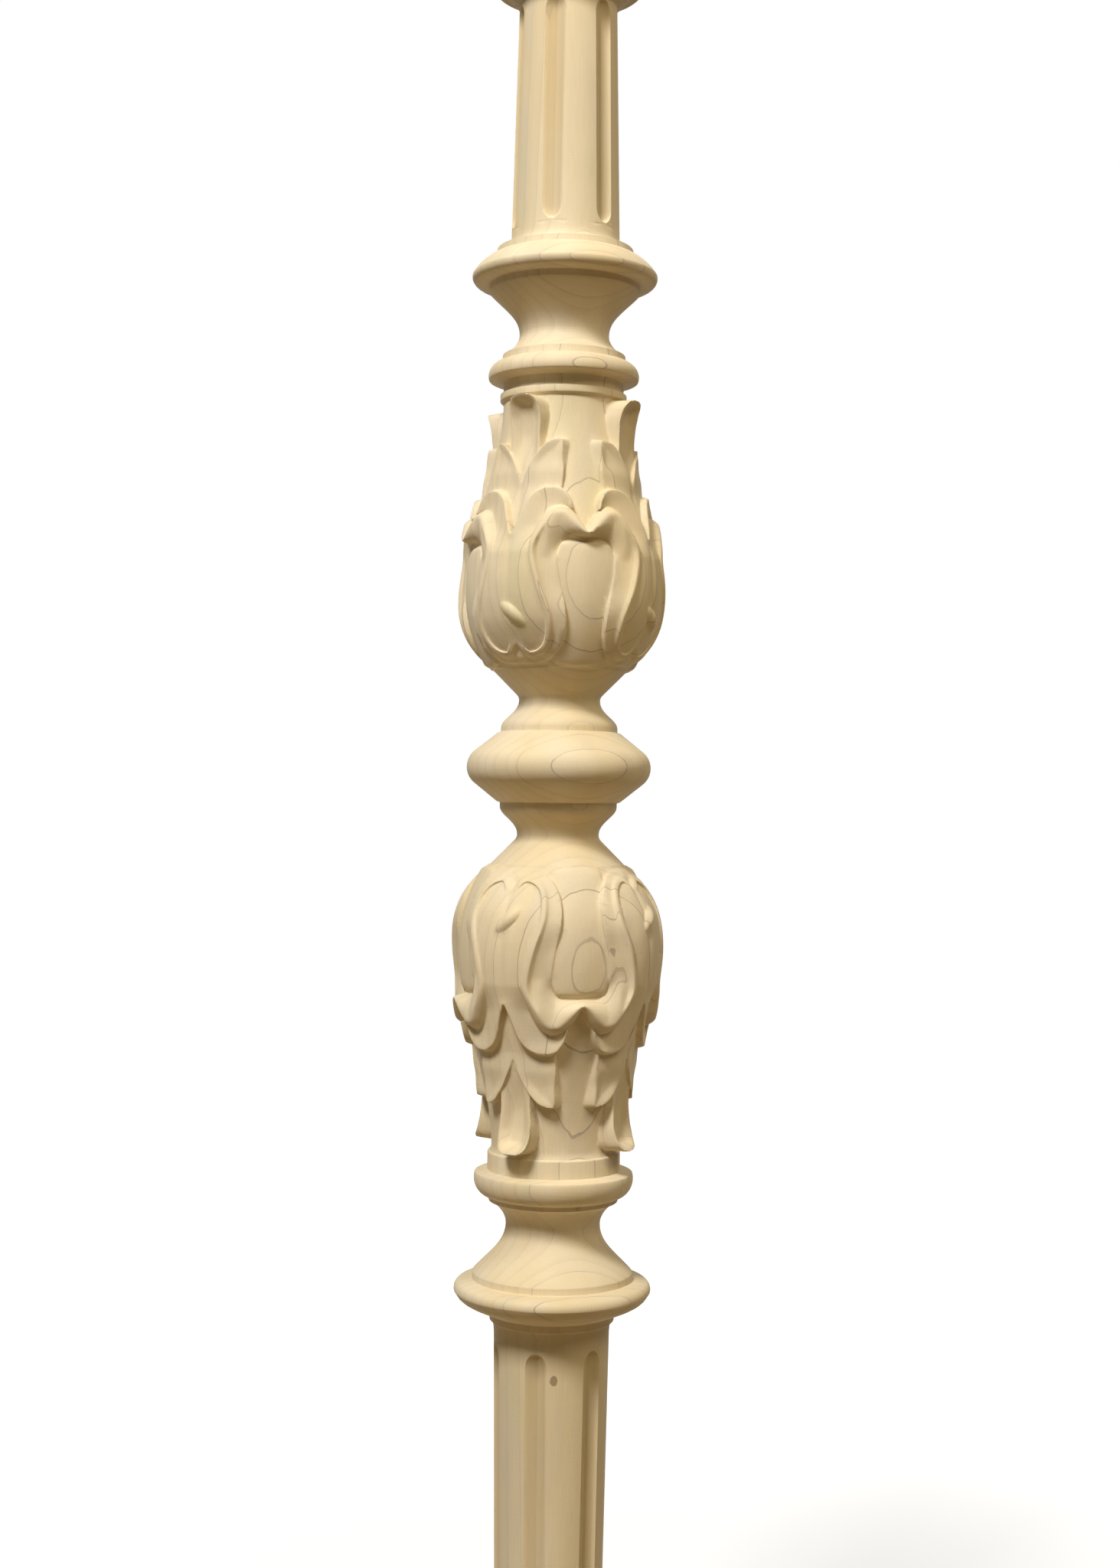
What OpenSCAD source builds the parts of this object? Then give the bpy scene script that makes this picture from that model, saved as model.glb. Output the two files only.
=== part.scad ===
// Turned and carved wooden baluster, symmetric about the bead at its middle.
// Millimetres, +Z up, origin at the centre of the foot. Stations named "z" in the turning
// sections are measured outward from the middle, and both halves use the same values.

/* [Overall] */
// Height from the foot to the top
overall_h = 930; // [780:5:1200]
// Width of the square blank, seen on the end blocks
blank_w = 90; // [76:1:110]
// Height of each square end block, with its turned shoulder
block_h = 97; // [60:1:140]
// Chamfer along the edges of the end blocks
block_chamfer = 1; // [0.5:0.5:4]

/* [Middle bead] */
// Radius of the bead
bead_r = 40.3; // [34:0.1:48]
// Radius of the rounded nose of the bead
bead_nose_r = 9; // [5:0.5:12]
// Slope of the bead's flanks, in degrees from the axis
bead_flank = 51; // [40:1:60]
// Half the height of the bead
bead_half_h = 15.3; // [13:0.1:22]

/* [Shoulder and inner neck] */
// Radius of the shoulder beside the bead
shoulder_r = 25.6; // [22:0.1:31]
// Height of the shoulder's straight band
shoulder_band_h = 1.8; // [1:0.1:4]
// Radius of the inner neck, the thinnest place
neck_r = 17.8; // [14:0.1:22]
// Height from the bead to the inner neck
neck_h = 13.8; // [10:0.1:20]
// Radius of the hollow at the inner neck
neck_hollow_r = 3.5; // [2:0.5:6]

/* [Carved bulb] */
// Height of the bulb, from the inner neck to its lip
bulb_h = 132; // [110:1:160]
// Height above the neck at which the carving starts
carving_start = 13; // [10:0.5:16]
// Step up from the turned cone to the carved ground
carving_step = 0.9; // [0.4:0.1:2]
// Radius of the carved ground at the belly
belly_r = 42; // [36:0.1:46]
// Height of the belly above the neck
belly_h = 49; // [40:1:60]
// Radius of the carved ground just under the lip
bulb_top_r = 27.4; // [24:0.1:32]
// Number of leaves around the bulb
leaf_count = 4; // [3:1:6]
// Relief of the scroll's ridge at the belly
scroll_relief = 5.2; // [3:0.1:7]
// Relief of the scroll where two scrolls meet, above the shield
heart_relief = 4.3; // [3:0.1:6]
// Relief of the arching band around the scroll
band_relief = 3.3; // [2:0.1:5]
// Relief of the side lobes at their tips
lobe_relief = 3.6; // [2:0.1:6]
// Relief of the leaf's curled tip at its end
tip_relief = 9.8; // [4:0.1:11]
// Relief of the narrow stem of the tip, between the lobes
stem_relief = 1.2; // [0.5:0.1:3]
// Depth of the scoop in the lobes and the tip
scoop_depth = 1.4; // [0:0.1:2]
// Step at the edge of the leaf, over the shield
edge_relief = 1.3; // [0.5:0.1:2.5]

/* [Rings] */
// Step out from the carved ground to the lip under the small ring
lip_step = 2.6; // [1.6:0.1:4]
// Height of the lip
lip_h = 3.4; // [2:0.1:6]
// Depth of the groove between lip and small ring
groove_depth = 1.4; // [0.5:0.1:3]
// Height of that groove
groove_h = 4.1; // [2:0.1:6]
// Radius of the small ring
small_ring_r = 34.3; // [30:0.1:38]
// Height of the small ring
small_ring_h = 12.4; // [10:0.1:18]
// Radius of the thin fillet outside the small ring
thin_fillet_r = 27.6; // [24:0.1:30]
// Height of the thin fillet
thin_fillet_h = 2.4; // [1:0.1:4]
// Radius of the outer neck
outer_neck_r = 20.1; // [16:0.1:23]
// Height from the thin fillet to the outer neck
outer_neck_h = 9.4; // [7:0.1:14]
// Radius at the wide end of the bell outside the outer neck
bell_r = 34; // [30:0.1:38]
// Height of the bell
bell_h = 19.8; // [14:0.1:28]
// Height of the fillet at the bell's wide end
bell_fillet_h = 2.8; // [1:0.1:5]
// Radius of the big ring
big_ring_r = 41.8; // [38:0.1:45]
// Radius of the rounded nose of the big ring
big_ring_nose_r = 3.4; // [2:0.1:5]
// Height of the big ring
big_ring_h = 13.6; // [11:0.1:20]
// Radius of the fillet between the big ring and the shaft
shaft_fillet_r = 30.8; // [28:0.1:33]
// Height of that fillet
shaft_fillet_h = 3.1; // [1:0.1:5]

/* [Fluted shaft] */
// Radius of the shaft at the big ring
shaft_root_r = 24.4; // [22:0.1:27]
// Radius of the shaft at the end ring
shaft_end_r = 22.4; // [19:0.1:24]
// Height of the hollow that leads from the fillet to the shaft
cavetto_h = 7.4; // [5:0.1:10]
// Number of flutes around each shaft
flute_count = 6; // [3:1:6]
// Width of a flute
flute_w = 9.4; // [6:0.1:11]
// Depth of a flute
flute_depth = 2.8; // [1.5:0.1:3.5]
// Distance from each end of a flute to the mouldings beside it
flute_margin = 1.4; // [1:0.1:10]

/* [End ring] */
// Radius of the end ring
end_ring_r = 35; // [30:0.1:40]
// Height of the end ring
end_ring_h = 16; // [13:0.1:20]
// Radius of the short neck between the end ring and the block
end_neck_r = 29; // [26:0.1:30]
// Height of that neck
end_neck_h = 5.5; // [4:0.1:10]
// Radius of the block's turned shoulder at its small end
block_shoulder_r = 31.5; // [31:0.1:36]
// Height of the turned shoulder, measured at the corners
block_shoulder_h = 20; // [12:0.5:26]

/* [Hidden] */

// Steps along one rounded stretch of the turning
arc_steps = 5;
// Columns across half a leaf, so that any bulb has about 64 columns around
half_leaf_columns = floor(32 / leaf_count);
// Rows along the carved bulb
bulb_rows = 37;
// Bulb height and half leaf angle for which the curves of the carving are written down
drawn_h = 132;
drawn_half_angle = 45;
// Small rounding on the turned edges of the lip, and on the foot of the bead
soft_edge = 0.8;
bead_foot = 1.4;
// How far one solid is sunk into the next, so that they join
bury = 1.5;
// Slope of the carved ground, radius against height, where the carving starts
ground_slope = 0.6;

half_h = overall_h / 2;
neck_z = bead_half_h + neck_h;
carving_z = neck_z + carving_start;
lip_z = neck_z + bulb_h;
small_ring_z = lip_z + lip_h + groove_h;
thin_fillet_z = small_ring_z + small_ring_h;
outer_neck_z = thin_fillet_z + thin_fillet_h + outer_neck_h;
bell_end_z = outer_neck_z + bell_h;
big_ring_z = bell_end_z + bell_fillet_h;
shaft_fillet_z = big_ring_z + big_ring_h;
shaft_z = shaft_fillet_z + shaft_fillet_h + cavetto_h;
block_z = half_h - block_h;
end_ring_z = block_z - end_neck_h - end_ring_h;
shaft_len = end_ring_z - shaft_z;
leaf_half_angle = 180 / leaf_count;
bulb_columns = 2 * leaf_count * half_leaf_columns;
lip_r = bulb_top_r + lip_step;
groove_r = lip_r - groove_depth;
// Radius at which the cone under the bulb reaches the start of the carving
cone_r = neck_r + neck_hollow_r * (1 - cos(45)) + carving_start - neck_hollow_r * sin(45);

// A round stretch about [cr, cz], from angle a0 to a1, as [radius, station] points
function arc(cr, cz, rad, a0, a1) =
    [for (i = [0 : arc_steps])
        let (a = a0 + (a1 - a0) * i / arc_steps)
        [cr + rad * cos(a), cz + rad * sin(a)]];

// An S-curve or hollow from p0 to p3 that leaves and arrives along the handles p1 and p2
function bend(p0, p1, p2, p3) =
    [for (i = [0 : arc_steps + 1])
        let (t = i / (arc_steps + 1), s = 1 - t)
        s * s * s * p0 + 3 * s * s * t * p1 + 3 * s * t * t * p2 + t * t * t * p3];

function smooth(t) = let (c = min(1, max(0, t))) c * c * (3 - 2 * c);

// Radius of the carved ground at height w above the inner neck
function ground_r(w) =
    w < belly_h
        ? let (s = belly_h - carving_start,
               t = (w - carving_start) / s,
               start_r = cone_r + carving_step)
          start_r * (1 - t) * (1 - t) * (1 + 2 * t) + ground_slope * s * t * (1 - t) * (1 - t)
              + belly_r * t * t * (3 - 2 * t)
        : belly_r + (bulb_top_r - belly_r) * smooth((w - belly_h) / (bulb_h - belly_h));

// --- Turned outline of one half, from the middle of the bead outward ---
function bead_points() =
    concat(arc(bead_r - bead_nose_r, 0, bead_nose_r, 0, bead_flank),
        [[shoulder_r + bead_foot, bead_half_h - soft_edge / 2], [shoulder_r, bead_half_h]]);

function shoulder_points() =
    bend([shoulder_r, bead_half_h + shoulder_band_h],
        [shoulder_r, bead_half_h + neck_h * 0.42],
        [neck_r, bead_half_h + neck_h * 0.6],
        [neck_r, neck_z]);

// Hollow of the neck, the cone above it and the core that carries the carving
function bulb_core_points() =
    concat([for (i = [1 : arc_steps])
            let (a = 45 * i / arc_steps)
            [neck_r + neck_hollow_r * (1 - cos(a)), neck_z + neck_hollow_r * sin(a)]],
        [[cone_r, carving_z]],
        [for (i = [1 : arc_steps + 2])
            let (w = carving_start + (bulb_h - carving_start) * i / (arc_steps + 2))
            [ground_r(w) - bury, neck_z + w]]);

function lip_points() =
    [[lip_r - soft_edge, lip_z],
        [lip_r, lip_z + soft_edge],
        [lip_r, lip_z + lip_h - soft_edge],
        [groove_r, lip_z + lip_h],
        [groove_r, small_ring_z]];

function small_ring_points() =
    bend([groove_r + 1.8, small_ring_z],
        [small_ring_r - 0.2, small_ring_z + 0.6],
        [small_ring_r + 1.4, small_ring_z + small_ring_h * 0.72],
        [thin_fillet_r + 1.4, thin_fillet_z]);

function outer_neck_points() =
    concat([[thin_fillet_r, thin_fillet_z]],
        bend([thin_fillet_r, thin_fillet_z + thin_fillet_h],
            [thin_fillet_r - 3, thin_fillet_z + thin_fillet_h + 0.6],
            [outer_neck_r, outer_neck_z - outer_neck_h * 0.45],
            [outer_neck_r, outer_neck_z]));

function bell_points() =
    concat(bend([outer_neck_r, outer_neck_z + 0.2],
            [outer_neck_r, outer_neck_z + bell_h * 0.5],
            [bell_r - bell_h * 0.34, bell_end_z - bell_h * 0.36],
            [bell_r, bell_end_z]),
        [[bell_r, big_ring_z]]);

function big_ring_points() =
    let (nose = big_ring_nose_r, crest = big_ring_z + nose * 0.9 + 1)
    concat([[bell_r + 1.6, big_ring_z]],
        arc(big_ring_r - nose, crest, nose, -62, 40),
        [[shaft_fillet_r + 1.2, shaft_fillet_z]]);

function shaft_points() =
    concat([[shaft_fillet_r, shaft_fillet_z], [shaft_fillet_r, shaft_fillet_z + shaft_fillet_h]],
        bend([shaft_fillet_r - 0.8, shaft_fillet_z + shaft_fillet_h],
            [shaft_root_r + 2, shaft_z - cavetto_h * 0.8],
            [shaft_root_r, shaft_z - cavetto_h * 0.5],
            [shaft_root_r, shaft_z]),
        [[shaft_end_r, end_ring_z]]);

function end_ring_points() =
    let (nose = end_ring_h / 4, crest = end_ring_z + end_ring_h - nose * 1.1)
    concat([[end_ring_r - nose - 0.6, crest - nose * 0.8]],
        arc(end_ring_r - nose, crest, nose, -45, 80),
        [[end_neck_r, end_ring_z + end_ring_h], [end_neck_r, block_z + bury * 4]]);

function half_outline() =
    concat(bead_points(), shoulder_points(), bulb_core_points(), lip_points(),
        small_ring_points(), outer_neck_points(), bell_points(), big_ring_points(),
        shaft_points(), end_ring_points());

module turned_half() {
    outline = half_outline();
    last = outline[len(outline) - 1];
    rotate_extrude($fn = 96)
        polygon(concat([[0, 0]], outline, [[0, last[1]]]));
}

// --- Carving, laid out on half a leaf ---
// Curves are [degrees from the leaf's centre line, height above the neck], written down for
// a bulb of the drawn height with leaves of the drawn angle, and stretched to the real ones.
function laid(points) =
    [for (p = points) [p[0] * leaf_half_angle / drawn_half_angle, p[1] * bulb_h / drawn_h]];
function drawn(w) = w * drawn_h / bulb_h;

// A smooth curve through the chosen points, four steps between neighbours
function through(p) =
    let (n = len(p) - 1)
    [for (i = [0 : n - 1], k = [0 : 3])
        let (a = p[max(0, i - 1)], b = p[i], c = p[i + 1], d = p[min(n, i + 2)], t = k / 4)
        0.5 * (2 * b + (c - a) * t + (2 * a - 5 * b + 4 * c - d) * t * t
            + (3 * b - a - 3 * c + d) * t * t * t)];
function curve(p) = let (q = laid(p)) concat(through(q), [q[len(q) - 1]]);

// Edge between the leaf and the shield, from the foot of the leaf to the heart
leaf_edge = curve([[0, 14.3], [15, 14.8], [26, 18], [32.6, 26], [32.8, 37], [28.6, 51],
    [27.8, 61], [33, 66.6], [45, 67.3]]);
// Crease between the outer face and the scroll, from the bud round to the heart
scroll_line = curve([[3, 27], [9.5, 19.3], [19, 22.6], [21, 33], [15.6, 47], [12.2, 60], [16, 73],
    [27, 80.2], [37, 78.2], [45, 72]]);
// Outer edge of the arching band, from the centre line to its blunt end
band_edge = curve([[0, 75], [6.6, 82.6], [17, 88.8], [28, 89.6], [36.3, 82.8]]);
// Free edge of the side lobe, from the centre line to the band
lobe_edge = curve([[0, 93], [6.9, 101.4], [20.4, 110], [34, 111.8], [34.6, 103], [31, 89]]);
// Free edge of the curled tip, from its root to its end
tip_edge = curve([[12.5, 100], [15, 110], [16.4, 121], [12, 130], [0, 131.6]]);

function backward(p) = [for (i = [len(p) - 1 : -1 : 0]) p[i]];

scroll_area = concat(leaf_edge, backward(scroll_line), laid([[0, 24]]));
band_area = concat(laid([[0, 24]]), scroll_line, backward(band_edge));
lobe_area = concat(lobe_edge, backward(band_edge));
tip_area = concat(tip_edge, laid([[0, 88]]));

function sits_inside(area, a, w) =
    let (n = len(area))
    len([for (i = [0 : n - 1])
        let (p = area[i], q = area[(i + 1) % n])
        if ((p[1] > w) != (q[1] > w)
            && a < (q[0] - p[0]) * (w - p[1]) / (q[1] - p[1]) + p[0]) 1]) % 2 == 1;

// Distance in mm over the ground from a place to a curve
function reach(line, a, w) =
    let (k = ground_r(w) * PI / 180)
    min([for (i = [0 : len(line) - 2])
        let (px = line[i][0] * k, py = line[i][1],
             dx = line[i + 1][0] * k - px, dy = line[i + 1][1] - py,
             t = min(1, max(0, ((a * k - px) * dx + (w - py) * dy) / (dx * dx + dy * dy))))
        norm([a * k - px - dx * t, w - py - dy * t])]);

// Height of the scroll's ridge: it grows from the foot of the leaf to the belly, and sinks
// again to the heart where two scrolls meet
function ridge_relief(w) =
    let (foot = 12, growth = 13, heart = 66, heart_run = 10)
    max(edge_relief, scroll_relief * (1 - exp((foot - drawn(w)) / growth)))
        + (heart_relief - scroll_relief) * smooth((drawn(w) - heart) / heart_run);

// The scroll falls in a hollow from its ridge to the edge over the shield. The ridge lies
// a little inside the crease, and further inside it at the heart.
function scroll_height(a, w) =
    let (shield_way = reach(leaf_edge, a, w),
         crease_way = reach(scroll_line, a, w),
         inset = 1.8 + 2.2 * smooth((drawn(w) - 62) / 12),
         t = min(1, shield_way / max(0.1, shield_way + crease_way - inset)),
         hollow = 1.4)
    edge_relief + (ridge_relief(w) - edge_relief) * pow(t, hollow)
        - edge_relief * max(0, 1 - crease_way / inset);

// The outer face is a plateau below the ridge, with a soft swell either side of the centre
// line, and becomes the arching band above the scroll
function band_height(a, w) =
    let (crease_way = reach(scroll_line, a, w),
         edge_way = reach(band_edge, a, w),
         arch = smooth((drawn(w) - 64) / 12),
         swell = 0.4 * sin(min(180, 12 * a)),
         plateau = ridge_relief(w) - 0.9 + swell,
         crease = heart_relief - 2.4,
         t = min(1, crease_way / max(0.1, crease_way + edge_way - 1.2)),
         band = crease + (band_relief - crease) * t)
    plateau + (band - plateau) * arch;

// The side lobe lifts towards its free edge
function lobe_height(a, w) =
    let (root_w = 91, run = 20, root = 1.4,
         t = (drawn(w) - root_w) / run,
         middle = min(1, reach(lobe_edge, a, w) / 6))
    max(edge_relief, root + (lobe_relief - root) * t)
        + 0.3 * scoop_depth * (1 - middle);

// The tip curls outward, ever faster, and is scooped along its middle
function tip_height(a, w) =
    let (root_w = 94, run = 38, curl = 1.3,
         t = max(0, (drawn(w) - root_w) / run),
         middle = min(1, reach(tip_edge, a, w) / 7))
    stem_relief + (tip_relief - stem_relief) * pow(t, curl) - scoop_depth * middle;

// Relief of the carving over the ground, with the angle folded onto half a leaf
function relief(a, w) =
    sits_inside(scroll_area, a, w) ? scroll_height(a, w)
    : sits_inside(band_area, a, w) ? band_height(a, w)
    : sits_inside(lobe_area, a, w) ? lobe_height(a, w)
    : sits_inside(tip_area, a, w) ? tip_height(a, w)
    : 0;

// Height above the neck of one row of the carved shell; the first row lies below the start
// of the carving and the last one inside the lip
function row_w(j) =
    let (first_w = carving_start - 1)
    first_w + (bulb_h + 1 - first_w) * j / bulb_rows;

// Radius of the carved shell; it is sunk into the turning at both ends
function shell_r(c, j) =
    let (a = c * leaf_half_angle / half_leaf_columns + 0.01, w = row_w(j))
    j == 0 ? cone_r - 1 - bury
    : w >= bulb_h ? bulb_top_r
    : ground_r(w) + relief(a, w);

// Carved shell of one bulb, turned so that the leaves lie on the blank's corners
module carved_bulb() {
    radii = [for (c = [0 : half_leaf_columns]) [for (j = [0 : bulb_rows]) shell_r(c, j)]];
    points = [for (j = [0 : bulb_rows], i = [0 : bulb_columns - 1])
        let (turn = i % (2 * half_leaf_columns),
             c = min(turn, 2 * half_leaf_columns - turn),
             theta = 45 + i * 360 / bulb_columns,
             r = radii[c][j])
        [r * cos(theta), r * sin(theta), neck_z + row_w(j)]];
    sides = [for (j = [0 : bulb_rows - 1], i = [0 : bulb_columns - 1], half = [0 : 1])
        let (k = (i + 1) % bulb_columns, low = j * bulb_columns, high = low + bulb_columns)
        half == 0 ? [low + i, high + i, low + k] : [low + k, high + i, high + k]];
    bottom = [for (i = [0 : bulb_columns - 1]) i];
    top = [for (i = [bulb_columns - 1 : -1 : 0]) bulb_rows * bulb_columns + i];
    polyhedron(points, concat(sides, [bottom, top]), convexity = 6);
}

// One flute: a round-ended cutter that lies along the tapered shaft
module flute() {
    cutter_r = (flute_w * flute_w / 4 + flute_depth * flute_depth) / (2 * flute_depth);
    stand_off = cutter_r - flute_depth;
    taper = atan((shaft_root_r - shaft_end_r) / shaft_len);
    reach_r = flute_w / 2;
    length = shaft_len - 2 * flute_margin;
    spine = length - 2 * reach_r;
    translate([shaft_root_r + stand_off, 0, shaft_z + flute_margin + reach_r])
        rotate([0, -taper, 0])
            rotate_extrude($fn = 48)
                polygon(concat([[0, -cutter_r]],
                    [for (i = [-arc_steps + 1 : 0])
                        let (a = 90 * i / arc_steps)
                        [cutter_r * cos(a), cutter_r * sin(a)]],
                    [for (i = [0 : arc_steps - 1])
                        let (a = 90 * i / arc_steps)
                        [cutter_r * cos(a), spine + cutter_r * sin(a)]],
                    [[0, spine + cutter_r]]));
}

// Square block at the end, its inner end rounded by the lathe
module end_block() {
    s = blank_w / 2;
    c = s - block_chamfer;
    corner_r = s * sqrt(2) + 1;
    intersection() {
        translate([0, 0, block_z])
            linear_extrude(height = block_h)
                polygon([[s, -c], [s, c], [c, s], [-c, s], [-s, c], [-s, -c], [-c, -s], [c, -s]]);
        rotate_extrude($fn = 96)
            polygon(concat([[0, block_z]],
                [for (i = [0 : arc_steps + 2])
                    let (a = 90 * i / (arc_steps + 2))
                    [corner_r - (corner_r - block_shoulder_r) * cos(a),
                        block_z + block_shoulder_h * sin(a)]],
                [[corner_r, half_h + 1], [0, half_h + 1]]));
    }
}

module half_baluster() {
    difference() {
        turned_half();
        for (i = [0 : flute_count - 1]) {
            rotate([0, 0, i * 360 / flute_count]) flute();
        }
    }
    carved_bulb();
    end_block();
}

module baluster() {
    color("wheat")
        translate([0, 0, half_h]) {
            half_baluster();
            mirror([0, 0, 1]) half_baluster();
        }
}

baluster();
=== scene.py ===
"""Looks of a turned and carved wooden baluster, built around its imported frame."""

import logging
import math
from dataclasses import dataclass, field
from enum import Enum

import bpy
import numpy as np
from mathutils import Matrix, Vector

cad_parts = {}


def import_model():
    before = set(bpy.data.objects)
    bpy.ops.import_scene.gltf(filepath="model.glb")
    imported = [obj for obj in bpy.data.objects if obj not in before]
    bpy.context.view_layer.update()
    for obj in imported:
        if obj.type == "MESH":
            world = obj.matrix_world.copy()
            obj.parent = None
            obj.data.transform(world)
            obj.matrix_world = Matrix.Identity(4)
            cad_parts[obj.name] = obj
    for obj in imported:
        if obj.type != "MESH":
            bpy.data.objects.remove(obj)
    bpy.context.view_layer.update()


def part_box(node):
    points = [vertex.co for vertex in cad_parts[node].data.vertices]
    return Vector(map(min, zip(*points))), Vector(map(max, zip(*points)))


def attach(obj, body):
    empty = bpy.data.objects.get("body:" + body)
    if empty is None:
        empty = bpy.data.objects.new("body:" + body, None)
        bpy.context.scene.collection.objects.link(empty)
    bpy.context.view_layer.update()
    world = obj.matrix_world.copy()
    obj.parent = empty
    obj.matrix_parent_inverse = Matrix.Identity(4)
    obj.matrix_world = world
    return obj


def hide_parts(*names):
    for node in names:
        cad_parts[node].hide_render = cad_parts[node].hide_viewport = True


LOG = logging.getLogger("baluster")
MM = 0.001
LEAVES = 4  # around each bulb
PITCH = 360 / LEAVES  # degrees from leaf to leaf
EDGE = PITCH / 2  # degrees from a leaf's centre line to the middle of a shield
PAST = -9  # degrees, where areas that cross the centre line are closed
TINY = 0.1  # mm, keeps shares finite
Curve = list[tuple[float, float]]
Triple = tuple[float, float, float]
Colour = tuple[float, float, float]
Socket = bpy.types.NodeSocket
Value = Socket | float


class End(Enum):
    """The two mirrored ends of the baluster, seen from the bead at its middle."""

    FOOT = -1
    TOP = 1


def smooth(value: np.ndarray | float) -> np.ndarray | float:
    """Eases from 0 to 1 as the value goes from 0 to 1, and holds outside that."""
    t = np.clip(value, 0.0, 1.0)
    return t * t * (3.0 - 2.0 * t)


def mix(low: np.ndarray | float, high: np.ndarray | float,
        share: np.ndarray | float) -> np.ndarray | float:
    """Goes from low to high as the share goes from 0 to 1."""
    return low + (high - low) * share


def arc(centre_r: float, centre_z: float, radius: float, first: float, last: float,
        steps: int = 8) -> Curve:
    """Lays points on a round stretch of a moulding, from the first to the last angle."""
    angles = np.radians(np.linspace(first, last, steps + 1))
    return [(centre_r + radius * math.cos(a), centre_z + radius * math.sin(a)) for a in angles]


def bend(*handles: tuple[float, float], steps: int = 9) -> Curve:
    """Lays points on an S-curve or hollow of a moulding.

    Args:
        handles: The start, two handles and the end, as (radius, station) pairs.
        steps: Number of steps along the curve.

    Returns:
        The points as (radius, station) pairs.
    """
    p0, p1, p2, p3 = (np.array(h) for h in handles)
    out = []
    for t in np.linspace(0.0, 1.0, steps + 1):
        s = 1.0 - t
        p = s ** 3 * p0 + 3 * s * s * t * p1 + 3 * s * t * t * p2 + t ** 3 * p3
        out.append((float(p[0]), float(p[1])))
    return out


def eased(outline: Curve, ease: float, sharper_than: float = 24.0) -> Curve:
    """Takes the bite off the hard edges of an outline, as sandpaper does.

    Args:
        outline: Points as (radius, station) pairs.
        ease: Length taken off either side of an edge, in mm.
        sharper_than: Turn at a point, in degrees, above which it is an edge.

    Returns:
        The outline with each hard edge replaced by a small round.
    """
    out = [outline[0]]
    for before, here, after in zip(outline, outline[1:], outline[2:]):
        a, p, b = np.array(before), np.array(here), np.array(after)
        back, ahead = a - p, b - p
        back_len, ahead_len = np.linalg.norm(back), np.linalg.norm(ahead)
        turn = 180.0 - math.degrees(math.acos(
            float(np.clip(back @ ahead / (back_len * ahead_len + 1e-12), -1.0, 1.0))))
        if turn < sharper_than:
            out.append(here)
            continue
        cut = min(ease, 0.4 * back_len, 0.4 * ahead_len)
        q, r = p + back / back_len * cut, p + ahead / ahead_len * cut
        middle = 0.25 * q + 0.5 * p + 0.25 * r
        out += [(float(v[0]), float(v[1])) for v in (q, middle, r)]
    return out + [outline[-1]]


def through(points: Curve, steps: int = 8) -> np.ndarray:
    """Runs a smooth curve through chosen points.

    Args:
        points: The chosen points, as (degrees, height) pairs.
        steps: Steps between neighbouring points.

    Returns:
        The curve's points, one row each.
    """
    p = np.array(points, dtype=float)
    last = len(p) - 1
    out = []
    for i in range(last):
        a, b, c, d = p[max(0, i - 1)], p[i], p[i + 1], p[min(last, i + 2)]
        for t in np.arange(steps) / steps:
            out.append(0.5 * (2 * b + (c - a) * t + (2 * a - 5 * b + 4 * c - d) * t * t
                              + (3 * b - a - 3 * c + d) * t ** 3))
    return np.array(out + [p[-1]])


def within(area: np.ndarray, a: np.ndarray, w: np.ndarray) -> np.ndarray:
    """Tells which places lie inside a closed area.

    Args:
        area: Corners of the area, one (degrees, height) row each.
        a: Degrees from the leaf's centre line at each place.
        w: Height above the neck at each place.

    Returns:
        True for each place inside.
    """
    inside = np.zeros(a.shape, dtype=bool)
    for p, q in zip(area, np.roll(area, -1, axis=0)):
        if p[1] == q[1]:
            continue
        crosses = (p[1] > w) != (q[1] > w)
        inside ^= crosses & (a < (q[0] - p[0]) * (w - p[1]) / (q[1] - p[1]) + p[0])
    return inside


def reach(line: np.ndarray, a: np.ndarray, w: np.ndarray, per_degree: np.ndarray) -> np.ndarray:
    """Measures how far each place is from a curve, over the carved ground.

    Args:
        line: The curve, one (degrees, height) row each.
        a: Degrees from the leaf's centre line at each place.
        w: Height above the neck at each place.
        per_degree: Millimetres to a degree at each place.

    Returns:
        The distances in mm.
    """
    best = np.full(a.shape, 1e9)
    for p, q in zip(line, line[1:]):
        dx, dy = (q[0] - p[0]) * per_degree, q[1] - p[1]
        x, y = (a - p[0]) * per_degree, w - p[1]
        t = np.clip((x * dx + y * dy) / (dx * dx + dy * dy + 1e-9), 0.0, 1.0)
        best = np.minimum(best, (x - dx * t) ** 2 + (y - dy * t) ** 2)
    return np.sqrt(best)


def around_axis(radius: np.ndarray | float, angles: np.ndarray,
                station: np.ndarray | float) -> np.ndarray:
    """Places points around the axis, one row each, in mm and radians."""
    z = np.broadcast_to(station, angles.shape)
    return np.stack([radius * np.cos(angles), radius * np.sin(angles), z], axis=1)


@dataclass(frozen=True)
class Step:
    """An eased step from 0 to 1; a negative run steps the other way."""

    start: float
    run: float

    def at(self, value: np.ndarray) -> np.ndarray:
        """Gives the height of the step at each value."""
        return smooth((value - self.start) / self.run)


def hump(value: np.ndarray, width: float) -> np.ndarray:
    """Gives 1 where the value is 0, and falls softly to nothing over a few widths."""
    return np.exp(-(value / width) ** 2)


def signed(area: np.ndarray, a: np.ndarray, w: np.ndarray, distance: np.ndarray) -> np.ndarray:
    """Makes the distance to an area's edge positive inside the area and negative outside."""
    return np.where(within(area, a, w), distance, -distance)


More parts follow.
